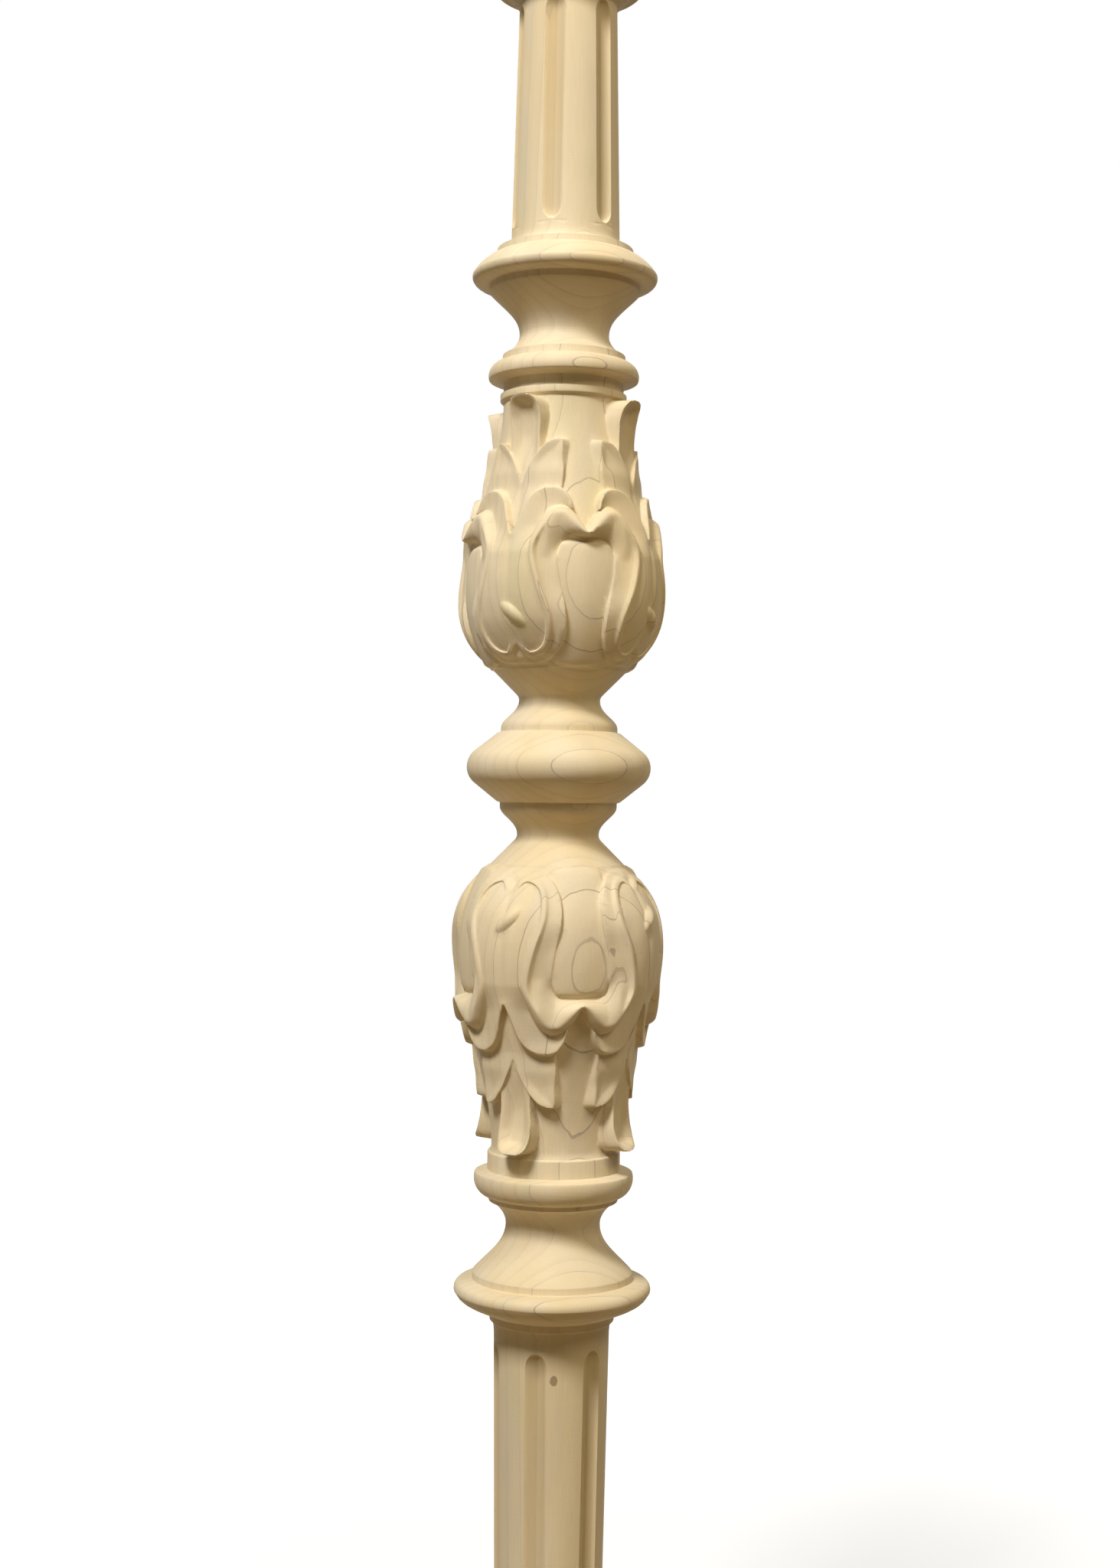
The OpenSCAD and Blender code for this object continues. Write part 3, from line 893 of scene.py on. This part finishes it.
class SkinMaker:
    """Sews rings of points, laid from the foot to the top, into one closed skin."""

    def __init__(self) -> None:
        """Starts with no points."""
        self.points: list[np.ndarray] = []
        self.fine: list[np.ndarray] = []
        self.quads: list[np.ndarray] = []
        self.tris: list[np.ndarray] = []
        self.count = 0
        self.last: np.ndarray | None = None

    def lay(self, ring: np.ndarray, fine: bool = False) -> None:
        """Adds one ring above the last one and sews the two together.

        Args:
            ring: Points of the ring, one row each, in mm.
            fine: Whether the ring belongs to the carving.
        """
        index = self.count + np.arange(len(ring))
        self.count += len(ring)
        self.points.append(ring)
        self.fine.append(np.full(len(ring), fine))
        if self.last is not None:
            self.sew(self.last, index)
        self.last = index

    def sew(self, low: np.ndarray, high: np.ndarray) -> None:
        """Joins two neighbouring rings, which may differ in their number of points.

        Args:
            low: Indices of the lower ring.
            high: Indices of the upper ring.
        """
        if len(low) == len(high):
            self.quads.append(np.stack([low, np.roll(low, -1), np.roll(high, -1), high], axis=1))
            return
        flip = len(low) > len(high)
        fine, coarse = (low, high) if flip else (high, low)
        times = len(fine) // len(coarse)
        start = np.arange(len(coarse)) * times
        following = np.roll(coarse, -1)
        tris = []
        for j in range(times):
            p, q = fine[start + j], fine[(start + j + 1) % len(fine)]
            near = coarse if j < times // 2 else following
            tris.append(np.stack([near, q, p], axis=1))
        tris.append(np.stack([coarse, following, fine[start + times // 2]], axis=1))
        found = np.concatenate(tris)
        self.tris.append(found[:, ::-1] if flip else found)

    def close(self, centre: Triple, upward: bool) -> None:
        """Closes the skin at one end with a fan to a centre point.

        Args:
            centre: The centre point, in mm.
            upward: Whether this is the upper end.
        """
        index = self.count
        self.count += 1
        self.points.append(np.array([centre]))
        self.fine.append(np.array([False]))
        ring = self.last if upward else np.arange(len(self.points[0]))
        ahead = np.roll(ring, -1)
        middle = np.full(len(ring), index)
        pair = (ring, ahead) if upward else (ahead, ring)
        self.tris.append(np.stack([pair[0], pair[1], middle], axis=1))

    def mesh(self, name: str) -> bpy.types.Mesh:
        """Makes the mesh, in metres.

        Args:
            name: Name of the mesh.

        Returns:
            The new mesh.
        """
        points = np.concatenate(self.points) * MM
        quads, tris = np.concatenate(self.quads), np.concatenate(self.tris)
        corners = np.concatenate([quads.ravel(), tris.ravel()]).astype(np.int32)
        starts = np.concatenate([np.arange(len(quads)) * 4,
                                 len(quads) * 4 + np.arange(len(tris)) * 3]).astype(np.int32)
        made = bpy.data.meshes.new(name)
        made.vertices.add(len(points))
        made.vertices.foreach_set("co", points.astype(np.float32).ravel())
        made.loops.add(len(corners))
        made.loops.foreach_set("vertex_index", corners)
        made.polygons.add(len(starts))
        made.polygons.foreach_set("loop_start", starts)
        made.update(calc_edges=True)
        made.validate()
        return made


@dataclass
class Baluster:
    """The whole turned and carved piece, in one skin."""

    turning: Turning
    flutes: Flutes
    block: EndBlock
    carving: LeafCarving
    columns: int = 96
    finer: int = 8
    carved_rows: int = 284
    triangle_goal: int = 188000
    crease: float = 34.0
    within_blank: float = 0.05
    least_flute: float = math.radians(3.0)
    seeds: dict[End, int] = field(default_factory=lambda: {End.TOP: 11, End.FOOT: 29})

    def ring(self, radius: float, station: float) -> np.ndarray:
        """Gives the points of a plain turned ring, in mm."""
        angles = np.arange(self.columns) * 2 * math.pi / self.columns
        return around_axis(radius, angles, station)

    def shaft_rings(self) -> list[np.ndarray]:
        """Gives the rings of the fluted shaft, their columns drawn to the flutes' edges.

        Returns:
            The points of each ring, in mm.
        """
        t, f = self.turning, self.flutes
        first, last = t.shaft_z + f.margin, t.end_ring_z - f.margin
        sector = 2 * math.pi / f.count
        per_side = self.columns // f.count // 4
        rings = []
        for z in [t.shaft_z + 0.6, first - 0.05, *f.stations(first, last), last + 0.05]:
            radius = float(np.interp(z, [t.shaft_z, t.end_ring_z],
                                     [t.shaft_root_r, t.shaft_end_r]))
            half = f.half_width(z, first, last)
            edge = max(math.asin(half / radius), self.least_flute)
            inner = np.linspace(0, edge, per_side + 1)
            outer = np.linspace(edge, sector / 2, per_side + 1)[1:]
            side = np.concatenate([inner, outer])
            whole = np.concatenate([side, sector - side[-2:0:-1]])
            angles = np.concatenate([whole + i * sector for i in range(f.count)])
            across = (np.mod(angles + sector / 2, sector) - sector / 2) * radius
            rings.append(around_axis(radius - f.sink(across, half), angles, z))
        return rings

    def block_rings(self) -> list[np.ndarray]:
        """Gives the rings of the end block, from its turned shoulder to the end face.

        Returns:
            The points of each ring, in mm.
        """
        t, b = self.turning, self.block
        angles = b.column_angles(self.columns)
        meet, square = b.meets(angles), b.square_r(angles)
        rings = []
        for share in np.linspace(0, 1, b.rows + 1):
            r, rise = b.shoulder(meet * share)
            rings.append(around_axis(r, angles, t.block_z + rise))
        for squared, size, drop in b.face():
            rings.append(around_axis(square - size if squared else size, angles,
                                     t.half_height - drop))
        return rings

    def half(self, end: End) -> list[tuple[np.ndarray, bool]]:
        """Gives the rings of one half, from the bead outward.

        Args:
            end: Which half.

        Returns:
            Pairs of a ring and whether it is carved.
        """
        t = self.turning
        skin = self.carving.skin(t.neck_z, self.columns * self.finer, self.carved_rows,
                                 t.cone_r, self.seeds[end])
        rings = [(self.ring(r, z), False) for r, z in t.bead_to_carving()[1:]]
        rings += [(row, True) for row in skin]
        rings += [(self.ring(r, z), False) for r, z in t.lip_to_shaft(end)]
        rings += [(ring, False) for ring in self.shaft_rings()]
        rings += [(self.ring(r, z), False) for r, z in t.end_ring_to_block()]
        return rings + [(ring, False) for ring in self.block_rings()]

    def build(self, name: str) -> bpy.types.Object:
        """Builds the baluster standing on the floor.

        Args:
            name: Name of the piece.

        Returns:
            The finished piece, without its material.
        """
        t = self.turning
        maker = SkinMaker()
        flip = np.array([1.0, 1.0, -1.0])
        stand = np.array([0.0, 0.0, t.half_height])
        low = [(ring * flip, fine) for ring, fine in reversed(self.half(End.FOOT))]
        middle = [(self.ring(t.bead_r, 0.0), False)]
        side = self.block.width / 2 - self.within_blank
        for ring, fine in low + middle + self.half(End.TOP):
            if fine:
                ring = np.clip(ring, (-side, -side, -np.inf), (side, side, np.inf))
            maker.lay(ring + stand, fine)
        dimple = self.block.centre_depth
        maker.close((0.0, 0.0, 2 * t.half_height - dimple), upward=True)
        maker.close((0.0, 0.0, dimple), upward=False)
        piece = bpy.data.objects.new(name, maker.mesh(name))
        bpy.context.scene.collection.objects.link(piece)
        self.thin_out(piece, np.concatenate(maker.fine))
        return piece

    def thin_out(self, piece: bpy.types.Object, fine: np.ndarray) -> None:
        """Merges the triangles of the carving where it is nearly flat.

        Args:
            piece: The piece to thin out.
            fine: Which of its points belong to the carving.
        """
        mesh = piece.data
        group = piece.vertex_groups.new(name="carving")
        group.add([int(i) for i in np.flatnonzero(fine)], 1.0, "REPLACE")
        triangles = sum(len(p.vertices) - 2 for p in mesh.polygons)
        plain = piece.modifiers.new("triangles", "TRIANGULATE")
        thin = piece.modifiers.new("thin", "DECIMATE")
        thin.ratio = self.triangle_goal / triangles
        thin.vertex_group = group.name
        graph = bpy.context.evaluated_depsgraph_get()
        done = bpy.data.meshes.new_from_object(piece.evaluated_get(graph))
        piece.modifiers.remove(thin)
        piece.modifiers.remove(plain)
        piece.data = done
        done.name = piece.name
        piece.vertex_groups.clear()
        bpy.data.meshes.remove(mesh)
        done.shade_smooth()
        done.set_sharp_from_angle(angle=math.radians(self.crease))
        LOG.info("%s: %d triangles drawn, %d kept", piece.name, triangles, len(done.polygons))


class NodeBench:
    """Lays shader nodes one after another and links them."""

    def __init__(self, owner: bpy.types.Material | bpy.types.World) -> None:
        """Empties the node tree of a material or of the surroundings.

        Args:
            owner: What the nodes are for.
        """
        owner.use_nodes = True
        self.tree = owner.node_tree
        self.tree.nodes.clear()

    def add(self, kind: str, inputs: dict | None = None, **settings: object) -> bpy.types.Node:
        """Adds one node.

        Args:
            kind: Blender's name for the kind of node.
            inputs: Values or sockets by input name or number.
            settings: Properties to set on the node.

        Returns:
            The new node.
        """
        node = self.tree.nodes.new(kind)
        for name, value in settings.items():
            setattr(node, name, value)
        for key, value in (inputs or {}).items():
            if isinstance(value, Socket):
                self.tree.links.new(value, node.inputs[key])
            else:
                colour = node.inputs[key].type == "RGBA" and len(value) == 3
                node.inputs[key].default_value = (*value, 1.0) if colour else value
        return node

    def math(self, operation: str, *values: Value, clamp: bool = False) -> Socket:
        """Adds a math node and gives its result."""
        return self.add("ShaderNodeMath", dict(enumerate(values)), operation=operation,
                        use_clamp=clamp).outputs[0]

    def plus(self, first: Value, second: Value) -> Socket:
        """Adds two values."""
        return self.math("ADD", first, second)

    def less(self, first: Value, second: Value) -> Socket:
        """Takes the second value from the first."""
        return self.math("SUBTRACT", first, second)

    def times(self, first: Value, second: Value) -> Socket:
        """Multiplies two values."""
        return self.math("MULTIPLY", first, second)

    def scaled(self, value: Value, factor: Value, offset: Value) -> Socket:
        """Multiplies a value by a factor and adds an offset."""
        return self.math("MULTIPLY_ADD", value, factor, offset)

    def ramp(self, value: Value, low: float, high: float, to_low: float = 0.0,
             to_high: float = 1.0, kind: str = "SMOOTHSTEP") -> Socket:
        """Adds a step of a value between two limits.

        Args:
            value: The value.
            low: Where the step starts.
            high: Where it ends.
            to_low: Result before the step.
            to_high: Result after it.
            kind: Blender's name for the shape of the step.

        Returns:
            The result.
        """
        node = self.add("ShaderNodeMapRange", {
            "Value": value, "From Min": low, "From Max": high, "To Min": to_low,
            "To Max": to_high}, interpolation_type=kind)
        return node.outputs["Result"]

    def blend(self, share: Value, low: Socket | Colour, high: Socket | Colour,
              how: str = "MIX") -> Socket:
        """Blends two colours.

        Args:
            share: Share of the second colour.
            low: The first colour.
            high: The second colour.
            how: Blender's name for the way to blend.

        Returns:
            The blended colour.
        """
        node = self.add("ShaderNodeMix", {"Factor": share, 6: low, 7: high}, data_type="RGBA",
                        blend_type=how)
        return node.outputs[2]

    def curve(self, value: Socket, points: Curve) -> Socket:
        """Adds a curve of straight stretches.

        Args:
            value: The value to look up, 0 to 1.
            points: The curve's points, 0 to 1 either way.

        Returns:
            The curve's height at the value.
        """
        node = self.add("ShaderNodeFloatCurve", {"Value": value})
        line = node.mapping.curves[0]
        line.points[0].location = points[0]
        line.points[1].location = points[-1]
        for x, y in points[1:-1]:
            line.points.new(x, y)
        for point in line.points:
            point.handle_type = "VECTOR"
        node.mapping.update()
        return node.outputs[0]

    def noise(self, place: Socket, scale: float, detail: float = 2.0,
              roughness: float = 0.5) -> Socket:
        """Adds a noise texture and gives its value."""
        return self.add("ShaderNodeTexNoise", {
            "Vector": place, "Scale": scale, "Detail": detail,
            "Roughness": roughness}).outputs[0]

    def grain(self, place: Socket, across: float, along: float, detail: float = 2.0,
              roughness: float = 0.5, scale: float = 1.0) -> Socket:
        """Adds noise that changes at one speed across the wood and at another along it."""
        drawn = self.vector("MULTIPLY", place, (across, across, along)).outputs[0]
        return self.noise(drawn, scale, detail, roughness)

    def vector(self, operation: str, *values: Socket | Triple) -> bpy.types.Node:
        """Adds a vector math node."""
        return self.add("ShaderNodeVectorMath", dict(enumerate(values)), operation=operation)

    def split(self, place: Socket) -> tuple[Socket, Socket]:
        """Parts a place into its place across the wood and its station along it."""
        x, y, z = self.add("ShaderNodeSeparateXYZ", {0: place}).outputs
        return self.add("ShaderNodeCombineXYZ", {0: x, 1: y}).outputs[0], z


@dataclass(frozen=True)
class RawPoplar:
    """Unfinished flat-sawn poplar: cream, with thin mauve growth lines and faint tool marks."""

    middle_z: float
    cream: Colour = (0.790, 0.672, 0.468)
    honey: Colour = (0.755, 0.612, 0.370)
    ash: Colour = (0.700, 0.612, 0.455)
    line: Colour = (0.430, 0.345, 0.255)
    olive: Colour = (0.680, 0.610, 0.350)
    knot: Colour = (0.270, 0.190, 0.100)
    facing: float = -84.5
    pith: float = 360.0
    growth: tuple[float, ...] = (
        -52.0, -46.3, -40.6, -35.1, -29.4, -23.9, -18.2, -12.8, -7.2, -1.9, 3.8, 9.3, 15.0,
        20.2, 25.5, 29.0, 36.9, 42.3, 47.5, 53.0)
    strongest: float = 28.0
    line_strength: tuple[float, float] = (0.34, 0.60)
    line_span: tuple[float, float] = (0.958, 0.98)
    most_bow: float = 10.0
    bow: tuple[tuple[float, float], ...] = (
        (-465.0, 0.5), (-235.0, 0.3), (-172.0, -1.6), (-125.0, -1.9), (-96.0, -1.5),
        (-72.0, -0.1), (0.0, 0.0), (64.0, -1.4), (128.0, -3.6), (173.0, -3.95),
        (225.0, -2.0), (241.0, -0.2), (330.0, 0.5), (465.0, 3.0))
    knot_angle: float = -102.0
    knot_z: float = -251.3
    knot_size: tuple[float, float] = (1.9, 2.4)
    roughness: float = 0.66
    gloss: float = 0.30
    # Colour of the shade painted into the flutes.
    painted_shade: Colour = (0.500, 0.370, 0.170)
    fluted: tuple[float, float] = (242.3, 346.5)
    shaft_radii: tuple[float, float] = (24.4, 22.4)

    def depth(self, bench: NodeBench, place: Socket) -> Socket:
        """Measures through the plank, along the way its rings follow, with the trunk's bow.

        Args:
            bench: The bench to lay the nodes on.
            place: Place in the wood, in mm from its middle.

        Returns:
            The depth in mm.
        """
        flat, z = bench.split(place)
        face = math.radians(self.facing)
        pith = (-self.pith * math.cos(face), -self.pith * math.sin(face), 0.0)
        away = bench.vector("DISTANCE", flat, pith).outputs["Value"]
        depth = bench.less(away, self.pith)
        low, high, top = self.bow[0][0], self.bow[-1][0], self.most_bow
        share = bench.math("DIVIDE", bench.less(z, low), high - low)
        points = [((s - low) / (high - low), (v + top / 2) / top) for s, v in self.bow]
        bow = bench.scaled(bench.curve(share, points), top, -top / 2)
        wander = bench.scaled(bench.grain(place, 0.03, 0.011), 1.6, -0.8)
        ripple = bench.scaled(bench.grain(place, 0.22, 0.09, 1.0), 0.5, -0.25)
        return bench.plus(bench.plus(bench.less(depth, bow), wander), ripple)

    def rings(self, bench: NodeBench, place: Socket) -> tuple[Socket, Socket]:
        """Draws the growth rings, each with a thin dark line where the year ends.

        Args:
            bench: The bench to lay the nodes on.
            place: Place in the wood, in mm from its middle.

        Returns:
            The share of late wood and the strength of the line.
        """
        depth = self.depth(bench, place)
        low, high = self.growth[0], self.growth[-1]
        years = len(self.growth) - 1
        share = bench.math("DIVIDE", bench.less(depth, low), high - low, clamp=True)
        points = [((g - low) / (high - low), i / years) for i, g in enumerate(self.growth)]
        year = bench.times(bench.curve(share, points), years)
        grown = bench.math("FRACT", year)
        chance = bench.add("ShaderNodeTexWhiteNoise", {"W": bench.math("FLOOR", year)},
                           noise_dimensions="1D").outputs["Value"]
        outer = bench.ramp(depth, self.strongest - 2.0, self.strongest, 0.35, 1.0)
        strength = bench.times(bench.scaled(chance, *self.line_strength), outer)
        faint = bench.ramp(bench.grain(place, 0.06, 0.03, 3.0), 0.3, 0.6, 0.45, 1.0)
        thin = bench.ramp(grown, *self.line_span)
        return bench.ramp(grown, 0.55, 1.0), bench.times(bench.times(thin, strength), faint)

    def figure(self, bench: NodeBench, place: Socket, late: Socket, line: Socket) -> Socket:
        """Colours the wood in broad streaks, with its rings over them.

        Args:
            bench: The bench to lay the nodes on.
            place: Place in the wood, in mm from its middle.
            late: Share of late wood.
            line: Strength of the ring's line.

        Returns:
            The colour.
        """
        broad = bench.ramp(bench.grain(place, 0.030, 0.006, 3.0), 0.35, 0.65)
        colour = bench.blend(broad, self.cream, self.honey)
        stain = bench.grain(place, 0.045, 0.009, scale=1.3)
        colour = bench.blend(bench.ramp(stain, 0.50, 0.72, 0.0, 0.65), colour, self.ash)
        tint = bench.grain(place, 0.05, 0.014, scale=0.9)
        colour = bench.blend(bench.ramp(tint, 0.56, 0.75, 0.0, 0.45), colour, self.olive)
        colour = bench.blend(bench.times(late, 0.10), colour, self.line)
        return bench.blend(line, colour, self.line)

    def material(self) -> bpy.types.Material:
        """Makes the material.

        Returns:
            The new material.
        """
        made = bpy.data.materials.new("raw_poplar")
        bench = NodeBench(made)
        where = bench.add("ShaderNodeTexCoord").outputs["Object"]
        place = bench.vector("MULTIPLY_ADD", where, (1 / MM,) * 3,
                             (0.0, 0.0, -self.middle_z)).outputs[0]
        late, line = self.rings(bench, place)
        colour = self.figure(bench, place, late, line)
        fibre = bench.grain(place, 1.9, 0.07, 3.0, 0.6)
        fleck = bench.grain(place, 3.6, 0.22, 2.0, 0.6)
        shade = bench.times(bench.scaled(fibre, 0.14, 0.93),
                            bench.ramp(fleck, 0.62, 0.75, 1.0, 0.93))
        grey = bench.add("ShaderNodeCombineXYZ", {0: shade, 1: shade, 2: shade}).outputs[0]
        colour = bench.blend(1.0, colour, grey, "MULTIPLY")
        # Painted shade: the flutes are darkened in colour, most where they sink deepest.
        colour = bench.blend(self.painted_flute_shade(bench, place), colour, self.painted_shade)
        shader = bench.add("ShaderNodeBsdfPrincipled", {
            "Base Color": self.with_knot(bench, place, colour), "Roughness": self.roughness,
            "Normal": self.tooling(bench, place, fibre, line),
            "Specular IOR Level": self.gloss})
        bench.add("ShaderNodeOutputMaterial", {"Surface": shader.outputs[0]})
        return made

    def painted_flute_shade(self, bench: NodeBench, place: Socket) -> Socket:
        """Paints shade into the flutes, darker the deeper they sink below the lands.

        Args:
            bench: The bench to lay the nodes on.
            place: Place in the wood, in mm from its middle.

        Returns:
            The share of painted shade, 0 on the lands.
        """
        flat, z = bench.split(place)
        radius = bench.vector("LENGTH", flat).outputs["Value"]
        station = bench.math("ABSOLUTE", z)
        low, high = self.fluted
        land = bench.ramp(station, low, high, *self.shaft_radii, kind="LINEAR")
        # Painted shade grows with the depth below the land.
        shade_by_depth = bench.ramp(bench.less(land, radius), 0.15, 1.8, 0.0, 0.40)
        on_shaft = bench.times(bench.ramp(station, low - 1.0, low + 1.0),
                               bench.ramp(station, high - 1.0, high + 1.0, 1.0, 0.0))
        return bench.times(shade_by_depth, on_shaft)

    def with_knot(self, bench: NodeBench, place: Socket, colour: Socket) -> Socket:
        """Adds the one small knot, on the lower shaft.

        Args:
            bench: The bench to lay the nodes on.
            place: Place in the wood, in mm from its middle.
            colour: The colour so far.

        Returns:
            The colour with the knot.
        """
        angle = math.radians(self.knot_angle)
        c, s = math.cos(angle), math.sin(angle)
        side = bench.vector("DOT_PRODUCT", place, (-s, c, 0.0)).outputs["Value"]
        front = bench.vector("DOT_PRODUCT", place, (c, s, 0.0)).outputs["Value"]
        station = bench.split(place)[1]
        across = bench.math("DIVIDE", side, self.knot_size[0])
        up = bench.math("DIVIDE", bench.less(station, self.knot_z), self.knot_size[1])
        away = bench.math("SQRT", bench.plus(bench.times(across, across), bench.times(up, up)))
        away = bench.plus(away, bench.scaled(bench.noise(place, 0.9), 0.5, -0.25))
        shown = bench.math("GREATER_THAN", front, 0.0)
        core = bench.times(bench.ramp(away, 1.0, 0.65, 0.0, 0.8), shown)
        halo = bench.times(bench.ramp(away, 2.4, 1.0, 0.0, 0.3), shown)
        return bench.blend(core, bench.blend(halo, colour, self.honey), self.knot)

    def tooling(self, bench: NodeBench, place: Socket, fibre: Socket, line: Socket) -> Socket:
        """Raises the grain and the fine marks that the tools leave around the work.

        Args:
            bench: The bench to lay the nodes on.
            place: Place in the wood, in mm from its middle.
            fibre: The wood's fibre.
            line: Strength of the ring's line.

        Returns:
            The surface's direction.
        """
        patch = bench.ramp(bench.grain(place, 0.08, 0.08), 0.35, 0.65, 0.25, 1.0)
        ridges = bench.times(bench.grain(place, 0.10, 1.7, 2.0, 0.6), patch)
        height = bench.scaled(ridges, 0.10, bench.times(fibre, 0.05))
        height = bench.scaled(bench.noise(place, 2.4, 3.0, 0.7), 0.045, height)
        height = bench.scaled(line, 0.05, height)
        return bench.add("ShaderNodeBump", {"Strength": 0.6, "Distance": MM,
                                            "Height": height}).outputs[0]


@dataclass(frozen=True)
class SoftBox:
    """One rectangular lamp, in metres and watts."""

    name: str
    place: Triple
    aim: Triple
    size: tuple[float, float]
    power: float
    colour: Colour

    def hang(self) -> None:
        """Hangs the lamp, turned to where it points."""
        light = bpy.data.lights.new(self.name, "AREA")
        light.shape = "RECTANGLE"
        light.size, light.size_y = self.size
        light.energy = self.power
        light.color = self.colour
        lamp = bpy.data.objects.new(self.name, light)
        bpy.context.scene.collection.objects.link(lamp)
        back = np.array(self.place) - np.array(self.aim)
        back = back / np.linalg.norm(back)
        upright = abs(back[2]) > 0.95
        side = np.cross((0.0, 1.0, 0.0) if upright else (0.0, 0.0, 1.0), back)
        side = side / np.linalg.norm(side)
        frame = np.eye(4)
        frame[:3, :] = np.stack([side, np.cross(back, side), back, self.place], axis=1)
        lamp.matrix_world = Matrix(frame.tolist())


@dataclass
class Studio:
    """Plain pale floor and soft light."""

    floor_size: float = 6.0
    shade: Colour = (0.27, 0.19, 0.085)
    keep: float = 0.42
    near_glow: float = 0.72
    glow_span: tuple[float, float] = (0.4, 0.85)
    fill: Colour = (1.0, 0.78, 0.42)
    fill_strength: float = 0.022
    lamps: tuple[SoftBox, ...] = (
        SoftBox("key", (-1.15, -1.18, 2.30), (0.0, 0.0, 0.46), (0.55, 0.55), 60.0,
                (1.0, 0.985, 0.965)),
        SoftBox("overhead", (0.0, -0.1, 2.6), (0.0, 0.0, 0.5), (1.2, 1.2), 5.0,
                (1.0, 0.98, 0.95)),
        SoftBox("warm_right", (0.95, -1.40, 2.05), (0.0, 0.0, 0.46), (0.8, 0.8), 18.0,
                (1.0, 0.86, 0.60)),
        SoftBox("cool_left", (-1.6, 0.1, 0.9), (0.0, 0.0, 0.40), (0.8, 1.2), 0.7,
                (0.98, 1.0, 1.0)))

    def seen(self, bench: NodeBench) -> Socket:
        """Tells whether a ray comes from the camera, a reflection or a clear body.

        Args:
            bench: The bench to lay the nodes on.

        Returns:
            1 for such a ray and 0 for one that carries light.
        """
        path = bench.add("ShaderNodeLightPath").outputs
        gloss = bench.math("MAXIMUM", path["Is Glossy Ray"], path["Is Transmission Ray"])
        return bench.math("MAXIMUM", path["Is Camera Ray"], gloss)

    def floor_finish(self) -> bpy.types.Material:
        """Makes the floor's finish, which looks white and keeps the object's shadow.

        Returns:
            The new material.
        """
        made = bpy.data.materials.new("pale_floor")
        bench = NodeBench(made)
        matt = bench.add("ShaderNodeBsdfDiffuse", {"Color": self.shade})
        lit = bench.add("ShaderNodeBsdfDiffuse", {"Color": (self.keep,) * 3})
        spot = bench.add("ShaderNodeTexCoord").outputs["Object"]
        away = bench.vector("LENGTH", spot).outputs["Value"]
        glow = bench.add("ShaderNodeEmission", {
            "Color": (1.0, 1.0, 1.0),
            "Strength": bench.ramp(away, *self.glow_span, self.near_glow, 1.0)})
        both = bench.add("ShaderNodeAddShader", {0: lit.outputs[0], 1: glow.outputs[0]})
        shown = bench.add("ShaderNodeMixShader", {0: self.seen(bench), 1: matt.outputs[0],
                                                  2: both.outputs[0]})
        bench.add("ShaderNodeOutputMaterial", {"Surface": shown.outputs[0]})
        return made

    def floor(self) -> bpy.types.Object:
        """Lays the floor.

        Returns:
            The floor.
        """
        half = self.floor_size / 2
        mesh = bpy.data.meshes.new("studio_floor")
        mesh.from_pydata([(-half, -half, 0), (half, -half, 0), (half, half, 0), (-half, half, 0)],
                         [], [(0, 1, 2, 3)])
        mesh.materials.append(self.floor_finish())
        floor = bpy.data.objects.new("studio_floor", mesh)
        bpy.context.scene.collection.objects.link(floor)
        return floor

    def world(self) -> None:
        """Makes the surroundings: white to look at, a warm dim fill to be lit by."""
        world = bpy.data.worlds.new("studio")
        bpy.context.scene.world = world
        bench = NodeBench(world)
        fill = bench.add("ShaderNodeBackground", {0: self.fill, 1: self.fill_strength})
        white = bench.add("ShaderNodeBackground", {0: (1.0, 1.0, 1.0), 1: 1.0})
        shown = bench.add("ShaderNodeMixShader", {0: self.seen(bench), 1: fill.outputs[0],
                                                  2: white.outputs[0]})
        bench.add("ShaderNodeOutputWorld", {0: shown.outputs[0]})

    def light(self) -> None:
        """Hangs the lamps: a strong one at the upper left and weak ones around it."""
        for lamp in self.lamps:
            lamp.hang()


@dataclass
class Viewpoint:
    """Camera at the bead's height, looking a little up, with the frame shifted down."""

    azimuth: float = -15.0
    distance: float = 0.8946
    drop: float = 0.0148
    pitch: float = 7.1
    roll: float = 0.752
    lens: float = 46.6
    shift_x: float = -0.001
    shift_y: float = -0.150

    def place(self, height: float) -> None:
        """Sets the camera up.

        Args:
            height: Height above the floor of the place to look at, in metres.
        """
        data = bpy.data.cameras.new("view")
        data.sensor_fit = "AUTO"
        data.sensor_width = 36.0
        data.lens = self.lens
        data.shift_x = self.shift_x
        data.shift_y = self.shift_y
        camera = bpy.data.objects.new("view", data)
        bpy.context.scene.collection.objects.link(camera)
        turn = math.radians(self.azimuth)
        spot = (self.distance * math.sin(turn), -self.distance * math.cos(turn),
                height - self.drop)
        camera.matrix_world = (Matrix.Translation(spot) @ Matrix.Rotation(turn, 4, "Z")
                               @ Matrix.Rotation(math.radians(90 + self.pitch), 4, "X")
                               @ Matrix.Rotation(math.radians(self.roll), 4, "Z"))
        bpy.context.scene.camera = camera


def main() -> None:
    """Builds the baluster, its studio and the camera."""
    logging.basicConfig(level=logging.INFO, format="%(name)s: %(message)s")
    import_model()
    low, high = (np.array(corner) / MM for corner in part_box("baluster"))
    half_height = float(high[2] - low[2]) / 2
    width = float(high[0] - low[0])
    bpy.context.scene.view_settings.view_transform = "Standard"

    baluster = Baluster(Turning(half_height), Flutes(), EndBlock(width), LeafCarving())
    piece = baluster.build("carved_baluster")
    piece.data.materials.append(RawPoplar(middle_z=half_height).material())
    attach(piece, "root")
    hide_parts("baluster")
    LOG.info("carved_baluster: %.0f mm high, %.0f mm wide", 2 * half_height, width)

    studio = Studio()
    studio.floor()
    studio.world()
    studio.light()
    Viewpoint().place(half_height * MM)
    LOG.info("studio: floor, lamps and camera are in place")


if __name__ == "__main__":
    main()
